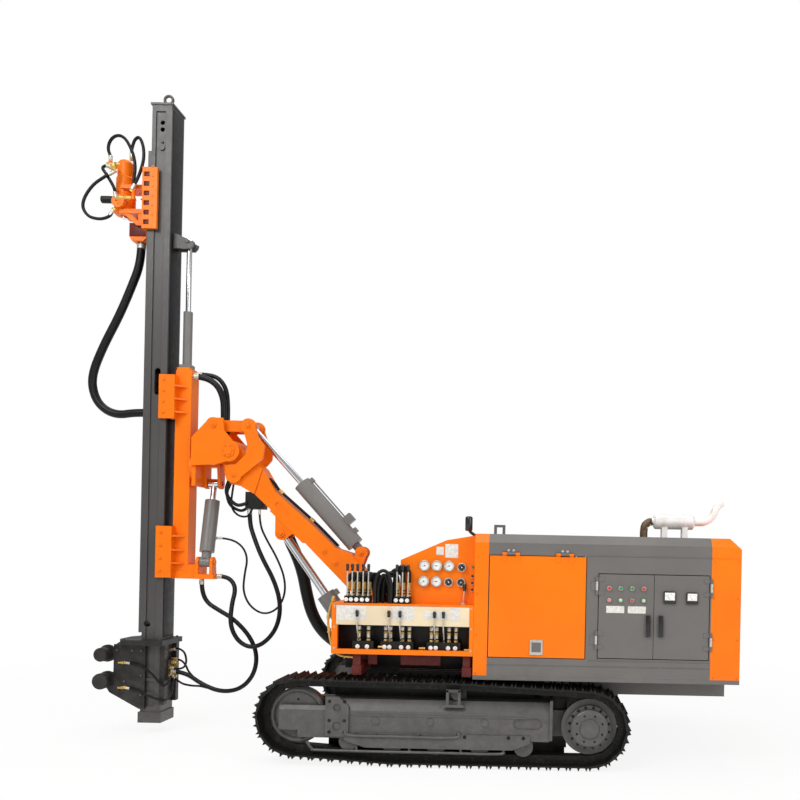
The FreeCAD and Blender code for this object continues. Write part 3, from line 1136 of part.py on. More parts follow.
sway_lugs = [plate("x", [("sway_head_y - 48", "sway_head_z"), ("sway_head_y + 48", "sway_head_z"),
                         ("bracket_y + 15", "2100"),
                         ("20", "2100")], (low, high), discs=[("sway_head_y", "sway_head_z", "45")],
                   holes=[("sway_head_y", "sway_head_z", "pin_r + pin_gap")])
             for low, high in (("-2026", "-2004"), ("-1916", "-1894"))]
sway_shelf = block(("-2026", "-1894"), ("20", "bracket_y + 1"), ("2085", "2110"))
hose_shelf = block(("-1905", "-1815"), ("-bracket_y - 1", "bracket_y + 1"),
                   ("hose_shelf_z - 12", "hose_shelf_z"))
node("tilt_bracket", fused([*bracket_sides, bracket_back, sway_disc, sway_pin, main_pin, *main_caps,
                            *link_caps, *link_pins,
                            *sway_lugs, sway_shelf, hose_shelf]))

# Slide frame
column = cut(block(("column_front_x", "column_rear_x"), ("-column_half", "column_half"),
                   ("column_z", "column_top_z")),
             block(("column_front_x + column_wall", "column_rear_x - column_wall"),
                   ("-column_half + column_wall", "column_half - column_wall"),
                   ("column_z - 5", "column_top_z + 5")))
boss = round_bar("x", "sway_pin_r + 30", ("column_front_x", "column_rear_x"), ("0", "sway_z"))
sway_bore = round_bar("x", "sway_pin_r + gland_gap", ("column_front_x - 20", "-2000"), ("0", "sway_z"))
guide_out = "guide_y + guide_thick"
guides = []
# Mast guides: lower end, top end, heights of their ribs
for low, high, ribs in (("2443", "2783", (2497, 2598, 2699)), ("1210", "1610", (1324, 1425, 1534))):
    for side, word in SIDES:
        guides.append(block(("mast_rear_x - mast_strip", "-2240"), sided(side, "guide_y", guide_out),
                            (low, high)))
        guides.append(block(("-2241", "column_front_x + 20"), sided(side, "column_half - 1", guide_out),
                            (low, high)))
        guides.append(block(("mast_rear_x - 42", "mast_rear_x - 6"),
                            sided(side, "mast_half + rest_gap", "guide_y + 1"),
                            (low, high)))
        for z in ribs:
            corners = (("column_front_x + 19", "column_half - 1"), ("column_front_x + 19", guide_out),
                       ("-2116", "column_half + 1"), ("-2116", "column_half - 1"))
            guides.append(plate("z", [(x, f"{side} * ({y})") for x, y in corners], (f"{z} - 7", f"{z} + 7")))
arm = [block(("column_front_x + 5", "-2000"), ("-80", "80"), ("1203", "1261")),
       block(("column_rear_x - 1", "-2000"), ("-80", "80"), ("1203", "1314")),
       block(("-2030", "-1880"), ("sway_foot_y - 50", "sway_foot_y + 60"), ("1203", "1240"))]
sway_foot_lugs = [plate("x", [("sway_foot_y - 50", "1204"), ("sway_foot_y + 60", "1204"),
                              ("sway_foot_y + 40", "sway_foot_z"),
                              ("sway_foot_y - 40", "sway_foot_z")], (low, high),
                              discs=[("sway_foot_y", "sway_foot_z", "42")])
                  for low, high in (("-2026", "-2004"), ("-1916", "-1894"))]
sway_foot_pin = round_bar("x", "pin_r", ("-2036", "-1884"), ("sway_foot_y", "sway_foot_z"))
slide_head = block(("slide_ram_x - 48", "slide_ram_x + 48"), ("-column_half", "column_half"),
                   ("column_top_z - 1", "column_top_z + 22"))
slide_passage = round_bar("z", "slide_barrel_r + 1", ("column_top_z - 5", "column_top_z + 30"),
                          ("slide_ram_x", "0"))
node("slide_frame", fused([cut(fused([column, boss]), sway_bore), *guides, *arm, *sway_foot_lugs,
                           sway_foot_pin,
                           cut(slide_head, slide_passage)]))

sway_port = round_bar("x", "11", ("sway_barrel_r - 8 - mid_x", "sway_barrel_r + 14 - mid_x"), ("196", "0"))
barrel, rod = ram("sway", "x", ("sway_ram_x", "sway_foot_y", "sway_foot_z"),
                  ("sway_ram_x", "sway_head_y", "sway_head_z"),
                  "pin_r + pin_gap", "440", [sway_port])
node("sway_ram_barrel", barrel)
node("sway_ram_rod", rod)

# Mast slide ram
slide_barrel = cut(round_bar("z", "slide_barrel_r", ("column_top_z - 620", "slide_gland_z"),
                             ("slide_ram_x", "0")),
                   fused([round_bar("z", "slide_barrel_r - 7", ("column_top_z - 590", "slide_gland_z - 40"),
                                    ("slide_ram_x", "0")),
                          round_bar("z", "slide_rod_r + gland_gap",
                                    ("slide_gland_z - 50", "slide_gland_z + 5"),
                                    ("slide_ram_x", "0"))]))
collar = cut(block(("slide_ram_x - 44", "slide_ram_x + 44"), ("-44", "44"),
                   ("column_top_z + 22", "column_top_z + 52")),
             round_bar("z", "slide_barrel_r - 0.5", ("column_top_z - 5", "column_top_z + 60"),
                       ("slide_ram_x", "0")))
node("slide_ram_barrel", fused([slide_barrel, collar]))
rod_eye = cut(round_bar("y", "slide_eye_r", ("-30", "30"), ("slide_ram_x", "slide_eye_z")),
              round_bar("y", "pin_r - 4", ("-40", "40"), ("slide_ram_x", "slide_eye_z")))
node("slide_ram_rod", fused([round_bar("z", "slide_rod_r", ("slide_gland_z - 500", "slide_eye_z - 24"),
                                       ("slide_ram_x", "0")),
                             rod_eye]))

# Mast: a box with recessed sides, foot block, cap with an eye bolt, feed rails, slide ram's bracket
mast_z_span = ("mast_z", "mast_top_z")
recess_x = ("mast_front_x + mast_flange", "mast_rear_x - mast_strip")
mast_mid_x = "(mast_front_x + mast_rear_x) / 2"
recess_in = "mast_half - mast_recess"
mast_box = block(("mast_front_x", "mast_rear_x"), ("-mast_half", "mast_half"), mast_z_span)
mast_hollow = block(("mast_front_x + mast_wall", "mast_rear_x - mast_wall"),
                    (f"-({recess_in} - mast_wall)", f"{recess_in} - mast_wall"),
                    ("mast_z - 1", "mast_top_z + 1"))
recesses = [block(recess_x, sided(side, recess_in, "mast_half + 1"),
                  ("foot_top_z", "mast_top_z - 50")) for side, word in SIDES]
# Round holes in the mast's sides: x, z, radius
openings = [round_bar("y", radius, ("-mast_half", "mast_half"), (x, z)) for x, z, radius in (
    ("-2385", "848", "24"), (mast_mid_x, "mast_top_z - 134", "17"), (mast_mid_x, "mast_top_z - 187", "17"))]
openings.append(plate("y", [("-2370", "2651"), ("-2324", "2651"), ("-2324", "2815"), ("-2370", "2815")],
                      ("-mast_half", "mast_half"), discs=[(mast_mid_x, "2651", "23"),
                                                          (mast_mid_x, "2815", "23")]))
recess_ribs = [block((f"{recess_x[0]} - 1", f"{recess_x[1]} + 1"),
                     sided(side, f"{recess_in} - 1", "mast_half"), span)
               for side, word in SIDES for span in (("foot_top_z - 1", "206"), ("296", "318"),
                                                    ("400", "425"))]
mast_bolts = [round_bar("y", radius, sided(side, f"{recess_in} - 1", "mast_half"), (mast_mid_x, z))
              for side, word in SIDES for z, radius in (("mast_top_z - 327", "24"),
                                                        ("mast_top_z - 285", "10"))]
mast_foot = block(("foot_x", "mast_rear_x + 10"), ("-mast_half - 8", "mast_half + 8"), ("80", "foot_top_z"))
mast_cap = block(("mast_front_x - 12", "mast_rear_x + 8"), ("-mast_half - 6", "mast_half + 6"),
                 ("mast_top_z", "mast_top_z + 16"))
eye_ring = fresh("Part::Torus", "Ring")
eye_ring.Placement = Placement(Vector(), Rotation(Vector(1, 0, 0), 90))
bind(eye_ring, "Radius1", "eye_ring_r")
bind(eye_ring, "Radius2", "eye_ring_thick")
put(eye_ring, mast_mid_x, "0", "mast_top_z + 92")
eye_foot = [round_bar("z", "28", ("mast_top_z + 15", "mast_top_z + 32"), (mast_mid_x, "0")),
            round_bar("z", "14", ("mast_top_z + 30", "mast_top_z + 64"), (mast_mid_x, "0"))]
rails = [block(("rail_x", "mast_front_x + 1"), sided(side, "mast_half - 50", "mast_half"),
               ("rail_z", "rail_top_z"))
         for side, word in SIDES]
rod_ears = [plate("y", [("mast_rear_x - 2", "3790"), ("slide_ram_x + 30", "3790"),
                        ("slide_ram_x + 50", "3815"),
                        ("slide_ram_x + 56", "3840"), ("mast_rear_x - 2", "3915")], sided(side, "33", "53"))
            for side, word in SIDES]
rod_pin = round_bar("y", "pin_r - 4 - pin_gap", ("-60", "60"), ("slide_ram_x", "slide_eye_z"))
mast_shell = cut(mast_box, fused([mast_hollow, *recesses, *openings]))
node("mast", fused([mast_shell, *recess_ribs, *mast_bolts, mast_foot, mast_cap, eye_ring, *eye_foot, *rails,
                    *rod_ears, rod_pin]))

# Clamp unit: table, side plates, jaws, rod guide and the manifold behind the mast
clamp_top = "clamp_z + clamp_table_thick"
clamp_table = plate("z", [("-2600", "-95"), ("-2554", "-190"), ("-2230", "-190"), ("-2230", "190"),
                          ("-2554", "190"),
                          ("-2600", "95")], ("clamp_z", clamp_top),
                    inner=[("mast_front_x", "-mast_half"), ("mast_front_x", "mast_half"),
                           ("mast_rear_x", "mast_half"),
                           ("mast_rear_x", "-mast_half")])
side_view = [("-2626", "clamp_z + 1"), ("-2626", "470"), ("rod_x", "470"), ("rod_x", "347"), ("-2655", "313"),
             ("-2424", "189"), ("-2382", "189"), ("-2382", "clamp_z + 1")]
clamp_sides = [plate("y", side_view, sided(side, "mast_half", "mast_half + 22"),
                     discs=[("rod_x", "upper_ram_z", "guide_ring_r"),
                            ("rod_x", "lower_ram_z", "guide_ring_r")])
               for side, word in SIDES]
jaws = [block(("rod_x - 45", "rod_x + 45"), sided(side, "clamp_bore_r + 4", "mast_half + 1"),
              (f"{z} - 35", f"{z} + 35"))
        for side, word in SIDES for z in ("upper_ram_z", "lower_ram_z")]
rod_guide = plate("z", [("rod_x", "-guide_ring_r"), ("-2600", "-(mast_half + 1)"),
                        ("mast_front_x", "-(mast_half + 1)"),
                        ("mast_front_x", "mast_half + 1"), ("-2600", "mast_half + 1"),
                        ("rod_x", "guide_ring_r")],
                  ("guide_ring_z", "guide_ring_z + guide_ring_thick"), discs=[("rod_x", "0", "guide_ring_r")],
                  holes=[("rod_x", "0", "guide_bore_r")])
rear_post = [block(("mast_rear_x", "-2232"), sided(side, "mast_half - 30", "mast_half + 22"),
                   ("foot_top_z + 60", "clamp_z + 1"))
             for side, word in SIDES]
manifold = block(("mast_rear_x", "manifold_x"), ("-(mast_half - 29)", "mast_half - 29"), ("405", "565"))
node("clamp_frame", fused([clamp_table, *clamp_sides, *jaws, *rear_post, manifold, rod_guide]))
clamps = []
for side, word in SIDES:
    for z, radius in (("upper_ram_z", "upper_ram_r"), ("lower_ram_z", "lower_ram_r")):
        steps = [round_bar("y", f"{radius} - {less}", sided(side, low, high), ("rod_x", z)) for less, low,
                 high in (
            ("8", "mast_half + 22", "clamp_ram_y - 60"), ("0", "clamp_ram_y - 62", "clamp_ram_y - 6"),
            ("5", "clamp_ram_y - 7", "clamp_ram_y"))]
        clamps.append(fused(steps))
node("clamp_rams", group(clamps))

# Rotary head: carriage, hose box, gear case and motor
carriage_y = "mast_half + 6"
cheek_face = f"{carriage_y} + head_cheek"
head_cheeks = [block(("head_front_x", "head_rear_x"), sided(side, carriage_y, cheek_face),
                     ("head_z", "head_top_z"))
               for side, word in SIDES]
cheek_pockets = [block(("head_front_x + 12", "head_front_x + 56"),
                       sided(side, f"{cheek_face} - 12", f"{cheek_face} + 1"),
                       (f"head_z + 30 + {index} * 74", f"head_z + 68 + {index} * 74"))
                 for side, word in SIDES for index in range(6)]
head_face = block(("head_front_x", "rail_x - 6"), (f"-({carriage_y} + 1)", f"{carriage_y} + 1"),
                  ("head_z", "head_top_z"))
head_pads = [block(("rail_x - 7", "rail_x - rest_gap"), sided(side, "mast_half - 45", "mast_half - 5"),
                   (low, high))
             for side, word in SIDES for low, high in (("head_z + 10", "head_z + 90"),
                                                       ("head_top_z - 90", "head_top_z - 10"))]
hose_box = plate("y", [("-2608", "3977"), ("-2608", "3870"), ("-2590", "hose_box_z"), ("-2500", "hose_box_z"),
                       ("head_front_x + 2", "3862"), ("head_front_x + 2", "3977")], ("-62", "62"))
node("head_carriage", fused([cut(fused(head_cheeks), fused(cheek_pockets)), head_face, *head_pads, hose_box]))
gearcase = turned("z", [("gearcase_z", "gearcase_r - 16"), ("gearcase_z + 16", "gearcase_r"),
                        ("4200", "gearcase_r"),
                        ("4214", "gearcase_r - 10"), ("4300", "gearcase_r - 10")], ("rod_x", "0"))
motor = turned("z", [("4299", "motor_r + 8"), ("4340", "motor_r + 8"), ("4352", "motor_r"),
                     ("motor_top_z - 30", "motor_r"),
                     ("motor_top_z - 8", "motor_r - 14"), ("motor_top_z", "motor_r - 30")], ("rod_x", "0"))
port = round_bar("y", "50", ("-gearcase_r - 45", "0"), ("rod_x", "port_z"))
stub = round_bar("x", "26", ("-2815", "-2700"), ("-88", "port_z + 18"))
shelf = block(("rod_x", "head_front_x"), ("-95", "95"), ("4040", "4075"))
gussets = [plate("y", [("-2668", "4076"), ("-2668", "4058"), ("-2544", "3950"), ("head_front_x", "3950"),
                       ("head_front_x", "4076")], sided(side, "70", "90"),
                 inner=[("-2618", "4060"), ("-2530", "3984"), ("-2530", "4060")]) for side, word in SIDES]
upper_shelf = block(("rod_x", "head_front_x"), ("-80", "80"), ("4240", "4270"))
loop_fittings = [round_bar("x", "15", ("-2794", "-2700"), ("-40", "4440")),
                 round_bar("z", "15", ("4426", "loop_start_z"), ("-2778", "-40")),
                 round_bar("x", "14", ("-2680", "-2548"), ("-112", "4152")),
                 round_bar("z", "14", ("4140", "loop_end_z"), ("-2561", "-112"))]
spindle_bore = round_bar("z", "spindle_r + gland_gap", ("gearcase_z - 60", "4200"), ("rod_x", "0"))
node("rotary_head", cut(fused([gearcase, motor, port, stub, shelf, *gussets, upper_shelf, *loop_fittings]),
                        spindle_bore))
node("spindle", turned("z", [("spindle_z", "spindle_r - 6"), ("spindle_z + 24", "spindle_r - 6"),
                             ("spindle_z + 28", "spindle_r"),
                             ("4190", "spindle_r")], ("rod_x", "0")))

# Free hoses: name, radius, points
HOSES = [
    ("head_hose", 32, (
        (-2540, 0, 3838), (-2540, 0, 3690), (-2617, 0, 3477), (-2704, 0, 3262), (-2828, 0, 3014),
        (-2914, 0, 2783), (-2890, 0, 2625), (-2815, 0, 2525), (-2700, 0, 2478), (-2560, 0, 2502),
        (-2424, 0, 2502))),
    ("top_hose_near", 24, (
        (-2093, -30, 2790), (-2020, -30, 2790), (-1911, -30, 2736), (-1857, -30, 2627),
        (-1851, -30, 2501), (-1850, -30, 2392), (-1850, -30, 2292))),
    ("top_hose_far", 18, (
        (-2093, 32, 2818), (-2018, 32, 2818), (-1935, 32, 2802), (-1882, 32, 2750), (-1852, 32, 2678),
        (-1842, 32, 2560), (-1842, 30, 2420), (-1842, 30, 2292))),
    ("foot_hose", 17, (
        (-1990, -50, 1203), (-1990, -50, 1118), (-1945, -60, 1020), (-1845, -80, 965),
        (-1714, -100, 897), (-1584, -110, 769), (-1522, -110, 622), (-1549, -100, 465),
        (-1655, -80, 350), (-1810, -60, 320), (-1967, -40, 369), (-2120, -30, 470), (-2225, -30, 470))),
    ("arm_hose", 17, (
        (-1880, -30, 1225), (-1815, -30, 1225), (-1754, -35, 1190), (-1719, -60, 1124),
        (-1732, -105, 1010), (-1727, -150, 854), (-1662, -160, 732), (-1556, -160, 679),
        (-1444, -160, 727), (-1354, -160, 853), (-1334, -160, 1024), (-1387, -156, 1201),
        (-1499, -134, 1384), (-1574, -95, 1539), (-1625, -50, 1650), (-1625, -50, 1760))),
    ("sway_hose", 8, (
        (-1890, -9, 1525), (-1800, -9, 1525), (-1681, -50, 1474), (-1622, -80, 1374),
        (-1640, -100, 1241), (-1645, -110, 1109), (-1585, -116, 995), (-1475, -116, 935),
        (-1367, -114, 984), (-1318, -100, 1101), (-1332, -88, 1240), (-1407, -66, 1394),
        (-1482, -58, 1512), (-1548, -50, 1640), (-1548, -50, 1760))),
    ("head_loop", 12, (
        (-2778, -40, 4465), (-2778, -40, 4505), (-2797, -48, 4550), (-2785, -56, 4606),
        (-2745, -66, 4648), (-2690, -78, 4654), (-2640, -90, 4621), (-2600, -100, 4560),
        (-2562, -110, 4475), (-2546, -115, 4378), (-2561, -112, 4290), (-2561, -112, 4215))),
    ("boom_bundle", 48, (
        (-1400, 140, 1740), (-1400, 140, 1630), (-1360, 146, 1510), (-1300, 152, 1390),
        (-1252, 158, 1250), (-1222, 165, 1090), (-1180, 176, 930), (-1100, 192, 790), (-975, 212, 685),
        (-810, 232, 612), (-640, 248, 565), (-480, 258, 545), (-330, 258, 545))),
]
for name, radius, rows in HOSES:
    shape, length, radii = tube(places(rows), radius)
    print(f"{name}: radius {radius} mm, length {length:.0f} mm, bends {[round(r) for r in radii]},"
          f" volume {shape.Volume / (math.pi * radius ** 2 * length):.3f} of section times length")
    node(name, solid_feature(shape))

doc.recompute()

# Check every object before anything is written
bad = [f"{thing.Label}: {thing.State}" for thing in doc.Objects
       if "Invalid" in thing.State or "Error" in thing.State]
for label, thing in NODES.items():
    if thing.Shape.isNull() or not thing.Shape.isValid() or not thing.Shape.Solids:
        bad.append(f"{label}: bad shape")
if bad:
    raise RuntimeError("; ".join(bad))

os.makedirs("parts", exist_ok=True)
for label, thing in NODES.items():
    thing.Shape.exportStep(f"parts/{label}.step")
print(f"{len(NODES)} nodes written")
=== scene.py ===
"""Looks of the crawler drilling rig: finishes, small fittings, hoses, light and camera.

Metres, +Z up, the mast at -X and the console on the -Y side, in the same frame as the solids.
"""
import math
from collections import defaultdict

import bmesh
import bpy
from mathutils import Matrix, Vector


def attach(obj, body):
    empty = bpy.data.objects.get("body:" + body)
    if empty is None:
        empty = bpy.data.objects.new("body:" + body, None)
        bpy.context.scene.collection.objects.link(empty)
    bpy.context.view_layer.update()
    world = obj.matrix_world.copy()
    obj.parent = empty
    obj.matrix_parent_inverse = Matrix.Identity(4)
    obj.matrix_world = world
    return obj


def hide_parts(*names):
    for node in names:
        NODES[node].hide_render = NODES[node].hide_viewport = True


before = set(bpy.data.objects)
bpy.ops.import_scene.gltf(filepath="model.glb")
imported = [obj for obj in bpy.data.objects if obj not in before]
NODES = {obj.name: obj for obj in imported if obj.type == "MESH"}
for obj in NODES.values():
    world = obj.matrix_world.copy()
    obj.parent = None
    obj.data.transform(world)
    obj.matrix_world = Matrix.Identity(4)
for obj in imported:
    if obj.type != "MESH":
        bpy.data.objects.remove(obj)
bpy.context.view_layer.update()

scene = bpy.context.scene
MM = 0.001
# Up, out to the left where the camera stands, and back to the tail
UP, LEFT, TAIL = (0, 0, 1), (0, -1, 0), (1, 0, 0)
WHITE_LIGHT = (1.0, 1.0, 1.0, 1.0)


# Colours and finishes
def colour(text):
    """Linear colour with alpha from an sRGB hex text."""
    parts = [int(text[i:i + 2], 16) / 255 for i in (0, 2, 4)]
    return (*[c / 12.92 if c <= 0.04045 else ((c + 0.055) / 1.055) ** 2.4 for c in parts], 1.0)


def add(tree, kind, settings=None, **inputs):
    """Add a node, its kind without the tree's prefix.

    Inputs are named after its sockets, or _0, _1 by place: a value, a socket, or a node for its first output.
    """
    node = tree.nodes.new(kind if "Node" in kind else tree.bl_idname.replace("Tree", kind))
    for name, value in (settings or {}).items():
        setattr(node, name, value)
    for name, value in inputs.items():
        socket = node.inputs[int(name[1:])] if name[0] == "_" else node.inputs[name.replace("_", " ")]
        if isinstance(value, bpy.types.Node):
            value = value.outputs[0]
        if isinstance(value, bpy.types.NodeSocket):
            tree.links.new(value, socket)
        else:
            socket.default_value = value
    return node


def blank(name):
    """A material and its empty tree."""
    material = bpy.data.materials.new(name)
    material.use_nodes = True
    material.node_tree.nodes.clear()
    return material, material.node_tree


def mix(tree, share, first, second):
    """Blend two colours by a share from 0 to 1."""
    return add(tree, "Mix", {"data_type": "RGBA"}, _0=share, _6=first, _7=second).outputs[2]


def spread(tree, value, low, high, to_low=0.0, to_high=1.0):
    """Map a value's range to another, clamped."""
    return add(tree, "MapRange", _0=value, _1=low, _2=high, _3=to_low, _4=to_high)


def maths(tree, what, first, second=0.0):
    return add(tree, "ShaderNodeMath", {"operation": what}, _0=first, _1=second)


def grain(tree, size, detail=2.0, rough=0.5):
    """Noise whose features are about that size in mm, on the object's own coordinates."""
    place = add(tree, "TexCoord").outputs["Object"]
    return add(tree, "TexNoise", Vector=place, Scale=1 / (size * MM), Detail=detail, Roughness=rough).outputs["Fac"]


def shaded(material, hue, roughness, relief, **more):
    """Close a material: one surface shader with its bump."""
    tree = material.node_tree
    shader = add(tree, "BsdfPrincipled", Base_Color=hue, Roughness=roughness, Normal=relief, **more)
    add(tree, "OutputMaterial", Surface=shader)
    return material


def paint(name, hue, rough=0.4, coat=0.08, dusty=0.1, shine=0.3):
    """Sprayed paint on steel: slow tint changes, fine peel, worn edges and dust that gathers low down."""
    material, tree = blank(name)
    base = colour(hue)
    darker = tuple(c * 0.86 for c in base[:3]) + (1.0,)
    # The passes of a spray gun overlap about every 450 mm
    tint = mix(tree, spread(tree, grain(tree, 450, 3.0), 0.35, 0.7), darker, base)
    # Paint rounds an edge of plate by 3 mm, and chips off it in spots of 12 mm
    edge_normal = add(tree, "Bevel", {"samples": 4}, Radius=3 * MM)
    flat = add(tree, "NewGeometry").outputs["Normal"]
    same = add(tree, "VectorMath", {"operation": "DOT_PRODUCT"}, _0=edge_normal, _1=flat)
    edge = spread(tree, same.outputs["Value"], 0.985, 0.9)
    chipped = maths(tree, "MULTIPLY", edge, spread(tree, grain(tree, 12, 4.0, 0.7), 0.56, 0.66))
    # Dust settles below 1.2 m, in patches of 60 mm
    place = add(tree, "TexCoord").outputs["Object"]
    height = add(tree, "SeparateXYZ", Vector=place).outputs["Z"]
    low_down = spread(tree, height, 1.2, 0.1)
    settled = maths(tree, "MULTIPLY", maths(tree, "MULTIPLY", low_down, dusty),
                    spread(tree, grain(tree, 60, 5.0, 0.65), 0.35, 0.75))
    with_dust = mix(tree, settled, tint, colour(DUST))
    final = mix(tree, maths(tree, "MULTIPLY", chipped, 0.55), with_dust, colour(BARE_STEEL))
    # The gloss changes with wiping hands and rain, over 50 mm
    roughness = maths(tree, "ADD", spread(tree, grain(tree, 50, 3.0), 0.3, 0.7, rough - 0.05, rough + 0.07),
                      maths(tree, "MULTIPLY", settled, 0.4))
    # Orange peel is 1 to 2 mm wide; drawn at 3.5 mm, or it wouldn't show
    bump = add(tree, "Bump", Strength=0.06, Distance=0.6 * MM, Height=grain(tree, 3.5, 1.0), Normal=edge_normal)
    return shaded(material, final, roughness, bump, Coat_Weight=coat, Specular_IOR_Level=shine, Coat_Roughness=0.16)


def metal(name, hue, rough, spots=20, second=None, metallic=1.0, soft=1.5, bumpy=0.15):
    """Bare metal: mottled roughness, and a second colour in spots of that many mm where it is stained or worn."""
    material, tree = blank(name)
    patches = spread(tree, grain(tree, spots, 4.0, 0.6), 0.5, 0.7)
    base = mix(tree, patches, colour(hue), colour(second or hue))
    roughness = spread(tree, grain(tree, spots / 3, 3.0), 0.3, 0.7, rough * 0.8, rough * 1.25)
    # Edges are broken by 1.5 or 2 mm; the grit of the skin is drawn at a sixth of the spots, coarser than it is
    edge_normal = add(tree, "Bevel", {"samples": 4}, Radius=soft * MM)
    bump = add(tree, "Bump", Strength=bumpy, Distance=0.8 * MM, Height=grain(tree, spots / 6, 3.0),
               Normal=edge_normal)
    return shaded(material, base, roughness, bump, Metallic=metallic)


def plastic(name, hue, rough=0.4, coat=0.0, bumpy=0.1, size=1.5, shine=0.5):
    """Moulded plastic or rubber: fine grain, drawn coarser than its 0.3 mm so that it shows, and uneven gloss."""
    material, tree = blank(name)
    base = colour(hue)
    lighter = tuple(min(1.0, c * 1.25 + 0.002) for c in base[:3]) + (1.0,)
    tint = mix(tree, spread(tree, grain(tree, 20, 3.0), 0.4, 0.7), base, lighter)
    roughness = spread(tree, grain(tree, 10, 3.0), 0.3, 0.7, rough - 0.06, rough + 0.08)
    bump = add(tree, "Bump", Strength=bumpy, Distance=0.4 * MM, Height=grain(tree, size, 2.0))
    return shaded(material, tint, roughness, bump, Coat_Weight=coat, Specular_IOR_Level=shine)


DUST = "b9b0a2"
BARE_STEEL = "55504b"

# Sprayed orange enamel: a strong even colour with broad soft highlights
ORANGE = paint("orange_enamel", "ff7b00", rough=0.36, coat=0.1, dusty=0.03, shine=0.2)
# Grey enamel on pressed sheet: satin, so that the large flats stay even
GREY = paint("hood_grey", "6d6a67", rough=0.42, shine=0.4)
# Dark grey enamel on rolled channel: shinier, so that the rails' edges catch the light
DARK = paint("mast_grey", "464443", shine=0.5)
# Black enamel on burnt-out plate: nearly black, its shape shows by the edges
CLAMP = paint("clamp_black", "201f1f", rough=0.45)
# Painted shade: near-black paint on the sheet inside the mast, for the shade of its rails: hardly a highlight
MAST_SHADE = paint("mast_painted_shade", "15161a", rough=0.5, shine=0.2)
# Two-part paint on drawn tube: smoother and shinier than on the sheets
RAM_GREY = paint("ram_grey", "7a7875", rough=0.34, coat=0.15)
# Grey enamel on cast and welded steel near the ground: darker, and dusty low down
FRAME_GREY = paint("track_frame_grey", "4f4e4d", rough=0.42, dusty=0.12, shine=0.5)
# Black powder coat on gauges, valves and covers; the same black is painted shade on sheets inside and under the console
# and inside the tracks: a dull dark ground behind the bright fittings
BLACK_PAINT_AND_SHADE = paint("black_paint_and_shade", "121211", rough=0.45, coat=0.05, dusty=0.05)
# Cream enamel on the valve panel's sheet: pale, warm and clean
CREAM = paint("cream_panel", "efdcb9", rough=0.4, coat=0.1, dusty=0.05)
# Rolled track steel, oily and dusty: dark brown, worn to a dull shine in spots
TRACK = metal("track_steel", "1d1c1b", 0.5, spots=30, second="34302c", metallic=0.55, soft=2)
# Hard chrome on ground rod: mirrors the floor and the sky as pale bands
CHROME = metal("chrome_rod", "d9dadc", 0.1, spots=50, bumpy=0.02)
# Heat-proof aluminium paint: pale and grainy, with little of a metal's reflection
SILVER = metal("silver_silencer", "f4f1ee", 0.42, spots=60, second="e6e0d8", metallic=0.25)
# Steel tube stained by exhaust heat: brown with darker patches
RUST = metal("heat_stained_steel", "6f5a45", 0.5, second="3d2f26", metallic=0.6)
# Turned brass, dulled by oil: warm yellow points of light
BRASS = metal("brass_fitting", "dcb766", 0.34, spots=10, second="b98f3c", metallic=0.6)
# Zinc-plated turned steel: cool and pale, slightly mottled
ZINC = metal("zinc_fitting", "cfccc2", 0.34, spots=10, second="aaa48f", metallic=0.7)
# Sand-cast iron: dull, dark and rough
CAST = metal("cast_engine", "4a4b4a", 0.55, second="3c3b3a", metallic=0.4)
# Rubber cured in cloth: deep black with a narrow soft highlight along the hose
HOSE = plastic("hose_rubber", "0a0a0a", rough=0.38, bumpy=0.25, size=3, shine=0.25)
# Moulded phenolic resin: black and glossy
KNOB = plastic("black_knob", "0f0f0f", rough=0.25, coat=0.3)
# Moulded polyamide: off-white, half glossy
WHITE = plastic("white_cap", "dcd9d2", rough=0.35, coat=0.2)
# Painted shade: dark red for orange sheet in shadow under the console and the head, flat and dark
DARK_RED = paint("dark_red_painted_shade", "5f1107", rough=0.5)
# Moulded acrylic: clear bright colours under a gloss, paler in the lamps' lenses
RED = plastic("red_button", "c01612", rough=0.22, coat=0.5)
GREEN = plastic("green_button", "14803a", rough=0.22, coat=0.5)
PALE_GREEN = plastic("pale_green_lamp", "9fd8a0", rough=0.16, coat=0.6)
PINK = plastic("pink_red_lamp", "e0656a", rough=0.16, coat=0.6)
# Printed card under glass: white, with the glass's faint gloss
DIAL = plastic("dial_face", "e2e2dc", rough=0.3, coat=0.1, bumpy=0.02)
# Lacquered label sheet, left blank: pale and smooth
PLATE = plastic("blank_plate", "d3d0c9", rough=0.3, coat=0.2, bumpy=0.03)

# Slot names for each finish; piece() looks them up but gives no piece a slot
SLOTS = {
    "orange_paint": (ORANGE, DARK_RED), "grey_paint": (GREY, FRAME_GREY), "track_steel": (TRACK,),
    "dark_grey_paint": (DARK, MAST_SHADE, BLACK_PAINT_AND_SHADE), "silver_paint": (ZINC, BRASS, RUST),
    "gauge_face": (DIAL, PLATE, CREAM, WHITE, RED, GREEN, PALE_GREEN, PINK), "hose_rubber": (HOSE, KNOB),
}
SLOT_OF = {finish.name: slot for slot, finishes in SLOTS.items() for finish in finishes}

